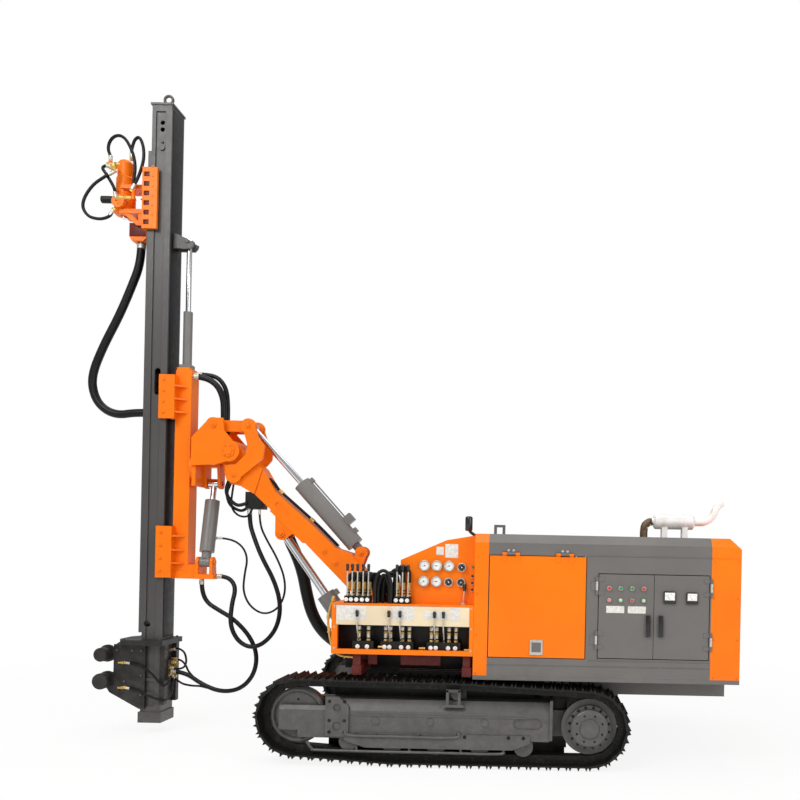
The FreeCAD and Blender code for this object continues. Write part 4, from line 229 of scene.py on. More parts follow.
# The solids' finishes; what isn't named here is a hose
WORN_BY = (
    (GREY, "base_frame hood_roof hood_wall_left hood_wall_right engine_hatch_right cabinet_door_front "
           "cabinet_door_rear switch_cabinet"),
    (ORANGE, "side_hatch_left side_hatch_right hood_front_cap hood_rear_cap console_box gauge_housing fuel_tank "
             "swing_bracket boom rocker tilt_link tilt_bracket slide_frame head_carriage rotary_head"),
    (TRACK, "track_left track_right"),
    (FRAME_GREY, "track_frame_left track_frame_right rollers idlers sprockets"),
    (CAST, "engine compressor radiator"),
    (SILVER, "silencer tailpipe"),
    (BLACK_PAINT_AND_SHADE, "gauges valves_upper valves_lower"),
    (RAM_GREY, "lift_ram_barrel tilt_ram_barrel turn_ram_barrel sway_ram_barrel slide_ram_barrel"),
    (CHROME, "lift_ram_rod tilt_ram_rod turn_ram_rod sway_ram_rod slide_ram_rod spindle"),
    (DARK, "mast"),
    (CLAMP, "clamp_frame clamp_rams"),
)
FINISHES = {name: finish for finish, names in WORN_BY for name in names.split()}
for name, node in NODES.items():
    for held in node.material_slots:
        held.material = FINISHES.get(name, HOSE)


# Making pieces: places are in mm from the middle of the tracks, as the solids' own sizes are
MID_X = 390
SHARP = math.radians(35)


def at(x, y, z):
    return Vector(((x + MID_X) * MM, y * MM, z * MM))


def linked(name, data):
    made = bpy.data.objects.new(name, data)
    scene.collection.objects.link(made)
    return made


def circle(count, reach, start=0.0):
    """Places around a circle as pairs of mm, the first one that share of a step along."""
    return [(reach * math.cos(a), reach * math.sin(a)) for a in [math.tau * (i + start) / count for i in range(count)]]


def empty(count):
    return [bmesh.new() for _ in range(count)]


def piece(name, body, material, faces=None, slot=None, mesh=None):
    """Make built faces, or a finished mesh, a piece that rides on a body of the machine."""
    if faces is not None:
        bmesh.ops.recalc_face_normals(faces, faces=faces.faces)
        mesh = bpy.data.meshes.new(name)
        faces.to_mesh(mesh)
        faces.free()
    mesh.materials.clear()
    mesh.materials.append(material)
    mesh.shade_smooth()
    mesh.set_sharp_from_angle(angle=SHARP)
    made = linked(name, mesh)
    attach(made, body)
    slot or SLOT_OF[material.name]


def pieces(body, *rows):
    """Pieces of one body: rows of name, finish, faces, and the slot if it isn't the finish's own, which is not used."""
    for name, *rest in rows:
        piece(name, body, *rest)


def ring(faces, centre, across, other, radius, steps):
    """Vertices of a circle in the plane of two directions, its radius in mm."""
    return [faces.verts.new(centre + (across * math.cos(a) + other * math.sin(a)) * radius * MM)
            for a in [math.tau * i / steps for i in range(steps)]]


def skin(faces, rings, looped=False):
    """Join rings by faces, with a cap at both ends or the last ring joined to the first."""
    for first, second in zip(rings, rings[1:] + rings[:1] * looped):
        for i in range(len(first)):
            j = (i + 1) % len(first)
            faces.faces.new((first[i], first[j], second[j], second[i]))
    if not looped:
        faces.faces.new(rings[0])
        faces.faces.new(rings[-1])


def turned(faces, centre, axis, profile, steps=24):
    """Add a closed body of revolution: its profile gives distances along the axis and radii, in mm."""
    along = Vector(axis).normalized()
    across = along.orthogonal().normalized()
    other = along.cross(across)
    skin(faces, [ring(faces, centre + along * far * MM, across, other, radius, steps) for far, radius in profile])


def fitting(faces, place, axis, *profiles):
    """A hexagon and the round neck beside it."""
    for profile, steps in zip(profiles, (6, 14)):
        turned(faces, place, axis, profile, steps)


def slab(faces, low, high, edge=1.5, segments=2):
    """Add a block between two corners with rounded edges, in mm."""
    low, high = at(*low), at(*high)
    held = bmesh.ops.create_cube(faces, size=1.0)["verts"]
    for vert in held:
        vert.co = Vector([low[i] if vert.co[i] < 0 else high[i] for i in range(3)])
    edges = {e for vert in held for e in vert.link_edges}
    bmesh.ops.bevel(faces, geom=list(edges), offset=edge * MM, segments=segments, profile=0.6, affect="EDGES")


def both(faces, low, high, edge=1.5):
    """A block on the left side and its mirror image on the right."""
    slab(faces, low, high, edge)
    slab(faces, (low[0], -high[1], low[2]), (high[0], -low[1], high[2]), edge)


def bent(faces, points, radius, steps=10):
    """Add a bent pipe along a smooth curve through points in mm, six steps from each to the next."""
    path = [Vector(p) for p in points]
    line = []
    padded = [path[0] * 2 - path[1], *path, path[-1] * 2 - path[-2]]
    for before, start, end, after in zip(padded, padded[1:], padded[2:], padded[3:]):
        for i in range(6):
            t = i / 6
            line.append(0.5 * (2 * start + (end - before) * t + (2 * before - 5 * start + 4 * end - after) * t * t
                               + (3 * start - before - 3 * end + after) * t ** 3))
    line.append(path[-1])
    normal = (line[1] - line[0]).orthogonal().normalized()
    rings = []
    for index, spot in enumerate(line):
        heading = (line[min(index + 1, len(line) - 1)] - line[max(index - 1, 0)]).normalized()
        normal = (normal - heading * normal.dot(heading)).normalized()
        rings.append(ring(faces, at(*spot), normal, heading.cross(normal), radius, steps))
    skin(faces, rings)


def ends(route):
    """Both ends of a route, each with the direction in which the route leaves it."""
    return [(at(*end), (Vector(inner) - Vector(end)).normalized())
            for end, inner in ((route[0], route[1]), (route[-1], route[-2]))]


# Repeated parts: a tree puts one part at each place, turned as the place says
def repeating_tree(name, sizes):
    """Start a tree whose places carry a turn and a scale; returns it with its input node."""
    tree = bpy.data.node_groups.new(name, "GeometryNodeTree")
    given = [("Places", "Geometry"), *[(label, "Float") for label in sizes], ("Finish", "Material")]
    for label, kind in given:
        tree.interface.new_socket(label, in_out="INPUT", socket_type="NodeSocket" + kind)
    tree.interface.new_socket("Parts", in_out="OUTPUT", socket_type="NodeSocketGeometry")
    return tree, tree.nodes.new("NodeGroupInput")


def close_tree(tree, given, part):
    """Put the part on the places, realize it and give it its finish."""
    turn = add(tree, "InputNamedAttribute", {"data_type": "FLOAT_VECTOR"}, Name="turn")
    size = add(tree, "InputNamedAttribute", {"data_type": "FLOAT"}, Name="size")
    euler = add(tree, "FunctionNodeEulerToRotation", _0=turn)
    spots = add(tree, "MeshToPoints", Mesh=given.outputs["Places"])
    placed = add(tree, "InstanceOnPoints", Points=spots, Instance=part, Rotation=euler, Scale=size)
    real = add(tree, "RealizeInstances", _0=placed)
    finished = add(tree, "SetMaterial", Geometry=real, Material=given.outputs["Finish"])
    add(tree, "NodeGroupOutput", _0=finished)
    return tree


def joined(tree, parts):
    join = tree.nodes.new("GeometryNodeJoinGeometry")
    for part in parts:
        tree.links.new(part.outputs[0], join.inputs[0])
    return join


def moved(tree, part, shift):
    return add(tree, "Transform", Geometry=part, Translation=shift)


def bolt_tree():
    """A hexagon head with a chamfered top on its washer; one metre across the washer at size one."""
    tree, given = repeating_tree("bolt_heads", ("Height",))
    height = given.outputs["Height"]
    washer, lower, upper = [
        add(tree, "MeshCone", Vertices=corners, Radius_Top=top, Radius_Bottom=bottom, Depth=depth)
        for corners, top, bottom, depth in ((14, 0.5, 0.5, 0.1), (6, 0.42, 0.42, height), (6, 0.34, 0.42, 0.07))]
    rise = add(tree, "ShaderNodeCombineXYZ", Z=height)
    return close_tree(tree, given, joined(tree, [washer, lower, moved(tree, upper, rise)]))


def link_tree():
    """One track link seen from outside: a plate and the pin's boss at its end, over the chain's width."""
    tree, given = repeating_tree("track_links", ("Pitch", "Width"))
    pitch, width = given.outputs["Pitch"], given.outputs["Width"]
    half = add(tree, "ShaderNodeCombineXYZ", X=maths(tree, "MULTIPLY", pitch, 0.5))
    parts = []
    # Boss and pin: corners, radius, and how much wider than the link, in mm
    for corners, radius, wider in ((14, 17, 0), (10, 9, 3)):
        rod = add(tree, "MeshCylinder", Vertices=corners, Radius=radius * MM,
                  Depth=maths(tree, "ADD", width, wider * MM))
        across = add(tree, "Transform", Geometry=rod, Rotation=(math.pi / 2, 0, 0))
        parts.append(moved(tree, across, half))
    # The plate between them: 0.82 of the pitch long, 26 mm high, 1 mm narrower than the bosses
    plate_size = add(tree, "ShaderNodeCombineXYZ", X=maths(tree, "MULTIPLY", pitch, 0.82),
                     Y=maths(tree, "SUBTRACT", width, 1 * MM), Z=26 * MM)
    parts.append(add(tree, "MeshCube", Size=plate_size))
    return close_tree(tree, given, joined(tree, parts))


BOLTS = bolt_tree()
LINKS = link_tree()


def facing(direction):
    return Vector(direction).to_track_quat("Z", "Y").to_euler()


def repeat(name, body, material, tree, rows, **sizes):
    """Rows of place in mm, turn and size; the tree's result becomes one plain mesh on a body."""
    holder = bpy.data.meshes.new(name)
    holder.from_pydata([at(*row[0]) for row in rows], [], [])
    holder.attributes.new("turn", "FLOAT_VECTOR", "POINT")
    holder.attributes.new("size", "FLOAT", "POINT")
    for index, (_, turn, size) in enumerate(rows):
        holder.attributes["turn"].data[index].vector = turn
        holder.attributes["size"].data[index].value = size
    source = linked(name, holder)
    modifier = source.modifiers.new("parts", "NODES")
    modifier.node_group = tree
    given = {**sizes, "Finish": material}
    for item in tree.interface.items_tree:
        if item.name in given:
            modifier[item.identifier] = given[item.name]
    mesh = bpy.data.meshes.new_from_object(source.evaluated_get(bpy.context.evaluated_depsgraph_get()))
    bpy.data.objects.remove(source)
    piece(name, body, material, mesh=mesh)


def bolts(name, body, material, rows, height=0.28):
    """Bolt heads: rows of place, direction they face, width over the washer in mm."""
    repeat(name, body, material, BOLTS, [(p, facing(d), w * MM) for p, d, w in rows], Height=height)


def sides(places):
    """Bolts on both sides that face out: rows of x, y on the right, z and width."""
    return [((x, side * y, z), (0, side, 0), width) for side in (-1, 1) for x, y, z, width in places]


# Camera, from the photograph's angle; its numbers are pixels of an 800 pixel square picture
PICTURE, FOCAL, ASIDE, RAISED = 800, 893, -145, 150
TILT = 0.021
lens = bpy.data.cameras.new("camera")
camera = linked("camera", lens)
scene.camera = camera
camera.location = (0.695 + MID_X * MM, -7.050, 1.485)
camera.rotation_mode = "QUATERNION"
camera.rotation_quaternion = (Matrix.Rotation(math.pi / 2, 4, "X") @ Matrix.Rotation(TILT, 4, "Z")).to_quaternion()
lens.sensor_width = 36.0
lens.lens = FOCAL / PICTURE * lens.sensor_width
lens.shift_x = ASIDE / PICTURE
lens.shift_y = RAISED / PICTURE
lens.clip_end = 100.0

# Hoses: node, bodies at its start and its end, the one it rides on, radius, length, route as in the solids
ROUTES = (
    ("head_hose", ("head", "mast"), "mast", 32, 1804, (
        (-2540, 0, 3838), (-2540, 0, 3690), (-2617, 0, 3477), (-2704, 0, 3262), (-2828, 0, 3014),
        (-2914, 0, 2783), (-2890, 0, 2625), (-2815, 0, 2525), (-2700, 0, 2478), (-2560, 0, 2502),
        (-2424, 0, 2502))),
    ("top_hose_near", ("slide_frame", "tilt_bracket"), "tilt_bracket", 24, 645, (
        (-2093, -30, 2790), (-2020, -30, 2790), (-1911, -30, 2736), (-1857, -30, 2627),
        (-1851, -30, 2501), (-1850, -30, 2392), (-1850, -30, 2292))),
    ("top_hose_far", ("slide_frame", "tilt_bracket"), "tilt_bracket", 18, 695, (
        (-2093, 32, 2818), (-2018, 32, 2818), (-1935, 32, 2802), (-1882, 32, 2750), (-1852, 32, 2678),
        (-1842, 32, 2560), (-1842, 30, 2420), (-1842, 30, 2292))),
    ("foot_hose", ("slide_frame", "mast"), "slide_frame", 17, 1704, (
        (-1990, -50, 1203), (-1990, -50, 1118), (-1945, -60, 1020), (-1845, -80, 965),
        (-1714, -100, 897), (-1584, -110, 769), (-1522, -110, 622), (-1549, -100, 465),
        (-1655, -80, 350), (-1810, -60, 320), (-1967, -40, 369), (-2120, -30, 470), (-2225, -30, 470))),
    ("arm_hose", ("slide_frame", "boom"), "boom", 17, 1993, (
        (-1880, -30, 1225), (-1815, -30, 1225), (-1754, -35, 1190), (-1719, -60, 1124),
        (-1732, -105, 1010), (-1727, -150, 854), (-1662, -160, 732), (-1556, -160, 679),
        (-1444, -160, 727), (-1354, -160, 853), (-1334, -160, 1024), (-1387, -156, 1201),
        (-1499, -134, 1384), (-1574, -95, 1539), (-1625, -50, 1650), (-1625, -50, 1760))),
    ("sway_hose", ("sway_barrel", "boom"), "boom", 8, 1798, (
        (-1890, -9, 1525), (-1800, -9, 1525), (-1681, -50, 1474), (-1622, -80, 1374),
        (-1640, -100, 1241), (-1645, -110, 1109), (-1585, -116, 995), (-1475, -116, 935),
        (-1367, -114, 984), (-1318, -100, 1101), (-1332, -88, 1240), (-1407, -66, 1394),
        (-1482, -58, 1512), (-1548, -50, 1640), (-1548, -50, 1760))),
    ("head_loop", ("head", "head"), "head", 12, 744, (
        (-2778, -40, 4465), (-2778, -40, 4505), (-2797, -48, 4550), (-2785, -56, 4606),
        (-2745, -66, 4648), (-2690, -78, 4654), (-2640, -90, 4621), (-2600, -100, 4560),
        (-2562, -110, 4475), (-2546, -115, 4378), (-2561, -112, 4290), (-2561, -112, 4215))),
    ("boom_bundle", ("boom", "chassis"), "boom", 48, 1839, (
        (-1400, 140, 1740), (-1400, 140, 1630), (-1360, 146, 1510), (-1300, 152, 1390),
        (-1252, 158, 1250), (-1222, 165, 1090), (-1180, 176, 930), (-1100, 192, 790), (-975, 212, 685),
        (-810, 232, 612), (-640, 248, 565), (-480, 258, 545), (-330, 258, 545))),
)


def hose(node, body, radius, rows):
    """A free hose: one smooth spline along the route of its solid, which it stands for."""
    line = bpy.data.curves.new(f"{node}_rubber", "CURVE")
    line.dimensions = "3D"
    spline = line.splines.new("NURBS")
    spline.points.add(len(rows) - 1)
    for point, row in zip(spline.points, rows):
        point.co = (*at(*row), 1.0)
    spline.order_u = 3
    spline.use_endpoint_u = True
    line.bevel_depth = radius * MM
    line.bevel_resolution = 5
    line.resolution_u = 10
    line.use_fill_caps = True
    line.materials.append(HOSE)
    made = linked(f"{node}_rubber", line)
    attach(made, body)
    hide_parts(node)
    tuple(at(*rows[0]))


def free_hoses():
    """The eight hoses, and crimped sleeves with a hexagon where they meet their fittings."""
    crimped = defaultdict(bmesh.new)
    for node, bodies, ride, radius, length, rows in ROUTES:
        hose(node, ride, radius, rows)
        # Waists where the jaws of a crimping tool press the sleeve
        sleeve = [(far, radius + more) for far, more in ((8, 0.5), (10, 2.5), (16, 2.5), (18, 1.2), (22, 2.5),
                                                         (28, 2.5), (30, 1.2), (34, 2.5), (42, 2.2), (44, 0.4))]
        for body, (place, step) in zip(bodies, ends(rows)):
            turned(crimped[body], place, step, [(0, radius + 3), (8, radius + 3)], 6)
            turned(crimped[body], place, step, sleeve, 20)
    for body, faces in crimped.items():
        piece(f"hose_ends_{body}", body, ZINC, faces)


# Running gear: the middle of a track, and its loop's arcs over the grouser tips as x, z, radius
TRACK_Y = 900
CIRCLES = ((-972, 322, 280), (-319, 300, 300), (1022, 280, 280), (110, 297, 300))
SHOES = 42
# From the grouser tips in to the shoes' plates, and from there to the links
GROUSER = 22
LINK_DEPTH = 35
# Rows of bolts on a shoe, as shares of its pitch
BOLT_ROWS = (0.315, 0.725)


def belt(inset):
    """The track's loop as lines and arcs, inset from the grouser tips."""
    circles = [(x, z, radius - inset) for x, z, radius in CIRCLES]
    runs = []
    for (ax, az, ar), (bx, bz, br) in zip(circles, circles[1:] + circles[:1]):
        normal = math.atan2(bz - az, bx - ax) - math.pi / 2 + math.asin((ar - br) / math.hypot(bx - ax, bz - az))
        runs.append(((ax + ar * math.cos(normal), az + ar * math.sin(normal)),
                     (bx + br * math.cos(normal), bz + br * math.sin(normal)), normal))
    path = []
    for index, (start, end, normal) in enumerate(runs):
        path.append((None, start, end, normal, math.dist(start, end)))
        x, z, radius = circles[(index + 1) % 4]
        turn = (runs[(index + 1) % 4][2] - normal) % math.tau
        path.append(((x, z), radius, None, normal, turn * radius))
    return path


def on_belt(path, distance):
    """The point at a distance along the loop, and the outward angle there."""
    for centre, first, second, normal, length in path:
        if distance <= length:
            break
        distance -= length
    if centre is None:
        share = distance / length
        return first[0] + (second[0] - first[0]) * share, first[1] + (second[1] - first[1]) * share, normal
    angle = normal + distance / first
    return centre[0] + first * math.cos(angle), centre[1] + first * math.sin(angle), angle


def running_gear():
    """Shoe bolts and links of both tracks, and the bolt circles and rows of wheels and track frames."""
    outer = belt(GROUSER)
    pitch = sum(part[4] for part in outer) / SHOES
    for side, word in ((-1, "left"), (1, "right")):
        bolted, chain = [], []
        for shoe in range(SHOES):
            for share in BOLT_ROWS:
                x, z, angle = on_belt(outer, (shoe + share) * pitch)
                bolted += [((x, side * TRACK_Y + y, z), (0, math.pi / 2 - angle, 0), 22 * MM) for y in (-38, 38)]
            x, z, angle = on_belt(outer, (shoe + 0.5) * pitch)
            chain.append(((x - LINK_DEPTH * math.cos(angle), side * TRACK_Y, z - LINK_DEPTH * math.sin(angle)),
                          (0, math.pi / 2 - angle, 0), 1.0))
        repeat(f"shoe_bolts_{word}", "chassis", TRACK, BOLTS, bolted, Height=0.3)
        repeat(f"track_links_{word}", "chassis", TRACK, LINKS, chain, Pitch=pitch * MM, Width=0.098)
    # Sprocket, its hub and the idler: count and reach of the bolts, x and z of the axle, y, width of a bolt
    wheels = ((16, 138, 1022, 280, 960, 19), (8, 93, 1022, 280, 1012, 15), (6, 106, -972, 322, 932, 17))
    rows = [(x + a, y, z + b, width) for count, reach, x, z, y, width in wheels for a, b in circle(count, reach, 0.5)]
    rows += [(x, 1003, z, 22) for x in (-742, -640) for z in (222, 300, 430)]
    rows += [(x, 997, 205, 24) for x in (-560, -420, -122, 176, 474, 575)]
    bolts("running_gear_bolts", "chassis", TRACK, sides(rows))


# Gauge housing: x, z and radius of each case, and its pointer's angle; the small ones are black
SMALL = 30
GAUGES = ((-130, 1361, 36, 200), (-45, 1361, 36, 170), (40, 1361, 36, 205), (127, 1353, SMALL, 140),
          (-133, 1253, 36, 215), (-46, 1253, 36, 185), (38, 1250, SMALL, 120), (123, 1250, SMALL, 230))
DASH_Y = -900


def upright(degrees):
    """A direction in the plane of the machine's side."""
    a = math.radians(degrees)
    return Vector((math.cos(a), 0, math.sin(a)))


def gauge_faces():
    """Bezels, dials with graduations and pointers."""
    rims, dials, marks = empty(3)
    front = Vector(LEFT) * MM
    for x, z, radius, pointer in GAUGES:
        centre = at(x, DASH_Y, z)
        inner = radius - 6
        section = [(18, inner), (25, inner), (27, inner + 1.5), (27, radius - 1.5), (24, radius + 1), (2, radius + 1)]
        skin(rims, [ring(rims, centre + front * far, Vector(TAIL), Vector(UP), reach, 40) for far, reach in section],
             looped=True)
        card, ink = (marks, dials) if radius == SMALL else (dials, marks)
        turned(card, centre, LEFT, [(17.5, inner - 0.4), (19, inner - 0.4)], 40)
        # Eleven graduations over 270 degrees, each fifth one longer
        for tick in range(11):
            out = upright(225 - tick * 27)
            length = 4 if tick % 5 else 5.5
            turned(ink, centre + out * (inner - 7) * MM + front * 19.6, out, [(0, 0.5), (length, 0.5)], 5)
        out = upright(pointer)
        turned(ink, centre - out * 5 * MM + front * 20.5, out, [(0, 1.4), (inner - 3, 0.6)], 6)
        turned(ink, centre, LEFT, [(19, 4), (21.5, 4), (22.5, 2.5)], 16)
    pieces("chassis", ("gauge_bezels", ZINC, rims), ("gauge_dials", DIAL, dials), ("gauge_marks", KNOB, marks))


def knob(faces, top, radius, tall):
    """A tapered lever knob with a round top; top is the place of its upper end."""
    base = at(*top) - Vector((0, 0, tall * MM))
    outline = ((0, 0.62), (0.12, 0.78), (0.62, 1), (0.86, 0.94), (0.96, 0.66), (1, 0.25))
    turned(faces, base, UP, [(tall * far, radius * wide) for far, wide in outline], 16)


# Valve banks: the console box's top, the x of each upper valve, each lower valve and each lower lever
BOX_TOP = 1099
UPPER = (-645, -612, -576, -538, -502, -308, -270, -232)
LOWER_CAPS = (-566, -501, -383, -350, -269, -221, -69, -34, 50, 98)
LOWER_LEVERS = (-566, -351, -276, -43, 18)


def valve_details():
    """Caps, nuts, sleeves, levers and knobs of the valve banks on and in the console."""
    caps, nuts, sleeves, stems, knobs = empty(5)
    crimped = [(0, 11.5), (2, 13), (12, 13), (14, 12), (18, 13), (28, 13), (30, 12), (34, 13), (42, 12.6), (44, 9.5)]
    for x in UPPER:
        turned(caps, at(x, -999, BOX_TOP + 24), LEFT, [(0, 14), (6, 14), (8, 11.5)], 20)
        turned(nuts, at(x, -930, BOX_TOP + 48), UP, [(0, 15), (12, 15), (14, 13)], 6)
        turned(nuts, at(x, -930, BOX_TOP + 72), UP, [(0, 14), (10, 14)], 6)
        turned(sleeves, at(x, -930, BOX_TOP + 88), UP, crimped, 18)
        turned(stems, at(x, -974, BOX_TOP + 47), UP, [(0, 8), (12, 8), (14, 5), (172, 5)], 12)
        knob(knobs, (x, -974, BOX_TOP + 267), 11, 50)
    for x in LOWER_CAPS:
        turned(caps, at(x, -976, 803), LEFT, [(0, 15), (6, 15), (8, 12)], 20)
        turned(nuts, at(x, -935, 839), UP, [(0, 14), (14, 14)], 6)
        turned(sleeves, at(x, -935, 862), UP, [(0, 12.6), (30, 12.6), (32, 10)], 18)
    for x in LOWER_LEVERS:
        bent(stems, [(x, -950, 833), (x, -957, 863), (x, -1000, 923), (x, -1012, 968), (x, -1014, 1014)], 5)
        knob(knobs, (x, -1014, 1054), 12, 46)
    pieces("chassis", ("valve_caps", WHITE, caps), ("valve_nuts", BRASS, nuts), ("valve_sleeves", ZINC, sleeves),
           ("lever_stems", ZINC, stems, "chrome_rod"), ("lever_knobs", KNOB, knobs))


def console_details():
    """The pale panel, its blank plates, a black sheet at the back of the box as painted shade of its dark inside, and a
    pipe at its front end.
    """
    panel, plates, back, pipes, joints = empty(5)
    slab(panel, (-713, -997, 951), (193, -985, 1085), 1.2)
    for x, z, width, height in ((-709, 985, 200, 96), (-330, 985, 148, 98), (-118, 1000, 168, 56), (62, 990, 66, 92)):
        slab(plates, (x, -998.6, z), (x + width, -996.6, z + height), 0.6)
    # Painted shade: a black sheet deep in the box for its dark inside
    slab(back, (-718, -846, 768), (196, -842, 1080), 1.0)
    bent(pipes, [(-742, -960, 1120), (-756, -962, 1080), (-772, -966, 990), (-764, -968, 900), (-738, -966, 790),
                 (-690, -960, 738), (-600, -956, 726)], 8, 12)
    for place, direction in (((-742, -960, 1108), (0.1, 0, 1)), ((-772, -966, 985), UP),
                             ((-764, -968, 890), (0.1, 0, 1))):
        turned(joints, at(*place), direction, [(0, 14), (16, 14)], 6)
        turned(joints, at(*place), direction, [(16, 11), (34, 11)], 12)
    for x, z in ((-430, 800), (-150, 796), (158, 790)):
        turned(joints, at(x, -960, z), TAIL, [(0, 9), (42, 9)], 12)
    pieces("chassis", ("console_panel", CREAM, panel), ("console_plates", PLATE, plates),
           ("console_back_shade", BLACK_PAINT_AND_SHADE, back, "hose_rubber"), ("console_pipe", BRASS, pipes),
           ("console_joints", BRASS, joints))
    rows = [((x, -1000, z), LEFT, 13) for x in (-722, 204) for z in (790, 935, 1075)]
    bolts("console_bolts", "chassis", ZINC, rows)


# Switch cabinet: x, z, radius and finish of each button and lamp; x, z and side of each meter
BUTTONS = ((1136, 1236, 12, RED), (1213, 1236, 12, GREEN), (1291, 1236, 12, GREEN), (1369, 1236, 12, RED),
           (1136, 1156, 10, PINK), (1213, 1156, 10, PALE_GREEN), (1291, 1156, 10, RED), (1369, 1156, 10, PALE_GREEN))
METERS = ((1506, 1140, 80), (1660, 1140, 76))


def cabinet_details():
    """Buttons, lamps, blank plates, meters, handles and hinge pins of the cabinet's two doors."""
    collars, plates, rims, dials, marks, pins = empty(6)
    heads = {}
    for x, z, radius, finish in BUTTONS:
        faces = heads[finish] = heads.get(finish) or bmesh.new()
        turned(collars, at(x, -1012, z), LEFT, [(-3, radius + 3.5), (1.5, radius + 3.5), (3, radius + 1.5)], 24)
        turned(faces, at(x, -1012, z), LEFT, [(2.9, radius), (9, radius), (11, radius * 0.8), (11.8, radius * 0.4)], 20)
    for x in (1118, 1264):
        slab(plates, (x, -1003.5, 1068), (x + 122, -999.6, 1116), 1.0)
    for x, z, side in METERS:
        slab(rims, (x - 2, -1013, z - 2), (x + side + 2, -1007, z + side + 2), 2.0)
        slab(dials, (x + 6, -1014.4, z + 22), (x + side - 6, -1012.8, z + side - 6), 0.5)
        middle = Vector((x + side / 2, -1015, z + 26))
        for tick in range(9):
            out = upright(150 - tick * 15)
            turned(marks, at(*(middle + out * 34)), out, [(0, 0.5), (5, 0.5)], 5)
        turned(marks, at(*middle), upright(math.degrees(2.1)), [(0, 0.9), (36, 0.5)], 6)
    for finish, faces in heads.items():
        piece(f"heads_{finish.name}", "cabinet_door_front", finish, faces)
    pieces("cabinet_door_front", ("button_collars", ZINC, collars), ("cabinet_plates", PLATE, plates))
    pieces("cabinet_door_rear", ("meter_rims", KNOB, rims), ("meter_dials", DIAL, dials), ("meter_marks", KNOB, marks))
    for x, door in ((1384, "cabinet_door_front"), (1470, "cabinet_door_rear")):
        faces = bmesh.new()
        slab(faces, (x + 2, -1019, 912), (x + 36, -1014, 1057), 2.0)
        slab(faces, (x + 10, -1032, 936), (x + 28, -1018, 1033), 5.0, 3)
        piece(f"handle_{door}", door, KNOB, faces)
    for x in (1052, 1829):
        for z in (883, 1249):
            turned(pins, at(x, -1009, z - 30), UP, [(0, 7), (1, 9.8), (59, 9.8), (60, 7)], 14)
    piece("cabinet_hinges", "chassis", ZINC, pins)


# Head: brass elbows, sleeves and the short hoses that stay on the head
HEAD_HOSES = (
    (12, ((-2600, -70, 4486), (-2598, -74, 4540), (-2572, -84, 4612), (-2530, -96, 4628), (-2496, -106, 4560),
          (-2486, -112, 4470), (-2500, -118, 4380), (-2530, -122, 4290), (-2566, -124, 4220))),
    (12, ((-2690, -122, 4150), (-2706, -128, 4226), (-2760, -132, 4318), (-2794, -128, 4370), (-2778, -112, 4398),
          (-2740, -96, 4396))),
    (12, ((-2700, -150, 4336), (-2760, -158, 4296), (-2846, -164, 4226), (-2907, -168, 4130), (-2918, -170, 4048),
          (-2872, -168, 3984), (-2790, -164, 3966), (-2722, -158, 3990), (-2700, -150, 4034))),
)


# The carriage's cheeks have a bolt and a pocket at each of six heights
POCKETS = range(0, 6 * 74, 74)


def head_details():
    """Hoses, elbows, sleeves and bolts that stay on the rotary head."""
    rubber, brass, sleeves, dark = empty(4)
    for radius, route in HEAD_HOSES:
        bent(rubber, route, radius, 12)
        for place, step in ends(route):
            turned(sleeves, place, step, [(-6, 13), (10, 14.5), (12, 13.5), (24, 14.5), (40, 14.2), (42, 12.5)], 16)
            turned(brass, place, step, [(-24, 15), (-8, 15)], 6)
    for x, y, z, direction in ((-2794, -40, 4440, TAIL), (-2740, -40, 4440, TAIL),
                               (-2680, -112, 4152, TAIL), (-2620, -112, 4152, TAIL),
                               (-2748, -96, 4396, TAIL), (-2700, -148, 4360, UP)):
        fitting(brass, at(x, y, z), direction, [(-10, 19), (14, 19), (16, 17)], [(16, 15.5), (44, 15.5)])
    turned(dark, at(-2815, -88, 4144), TAIL, [(-4, 22), (0, 28), (70, 28), (74, 26.5), (96, 26.5)], 28)
    pieces("head", ("head_short_hoses", HOSE, rubber), ("head_elbows", BRASS, brass), ("head_sleeves", ZINC, sleeves),
           ("head_stub_cover", BLACK_PAINT_AND_SHADE, dark, "hose_rubber"))
    rows = [((-2640 + a, b, 4214), UP, 17) for a, b in circle(10, 96, 0.5)]
    rows += [((-2640 + a, -158, 4126 + b), LEFT, 13) for a, b in circle(6, 36)]
    rows += sides([(-2396, 146, 4015 + rise, 20) for rise in POCKETS])
    bolts("head_bolts", "head", ORANGE, rows, 0.32)


# Clamp unit: fittings and short hoses to the manifold behind the mast
CLAMP_HOSES = (
    (9, ((-2520, -146, 545), (-2450, -152, 540), (-2380, -158, 512), (-2310, -160, 458), (-2262, -156, 400),
         (-2228, -140, 376), (-2205, -110, 400), (-2200, -80, 440), (-2214, -60, 452))),
    (9, ((-2520, -146, 352), (-2440, -152, 338), (-2350, -158, 300), (-2280, -158, 274), (-2222, -140, 262),
         (-2190, -112, 300), (-2184, -84, 380), (-2200, -60, 420), (-2222, -50, 430))),
    (8, ((-2222, -20, 640), (-2176, -24, 650), (-2120, -40, 622), (-2096, -56, 560), (-2110, -60, 512),
         (-2160, -56, 494), (-2220, -50, 500))),
    (8, ((-2222, 20, 560), (-2168, 16, 552), (-2126, 6, 518), (-2090, -14, 468), (-2030, -30, 416), (-1940, -42, 356))),
    (8, ((-2222, 0, 430), (-2180, -6, 396), (-2130, -20, 372), (-2060, -34, 362), (-1990, -42, 360),
         (-1930, -46, 348))),
)


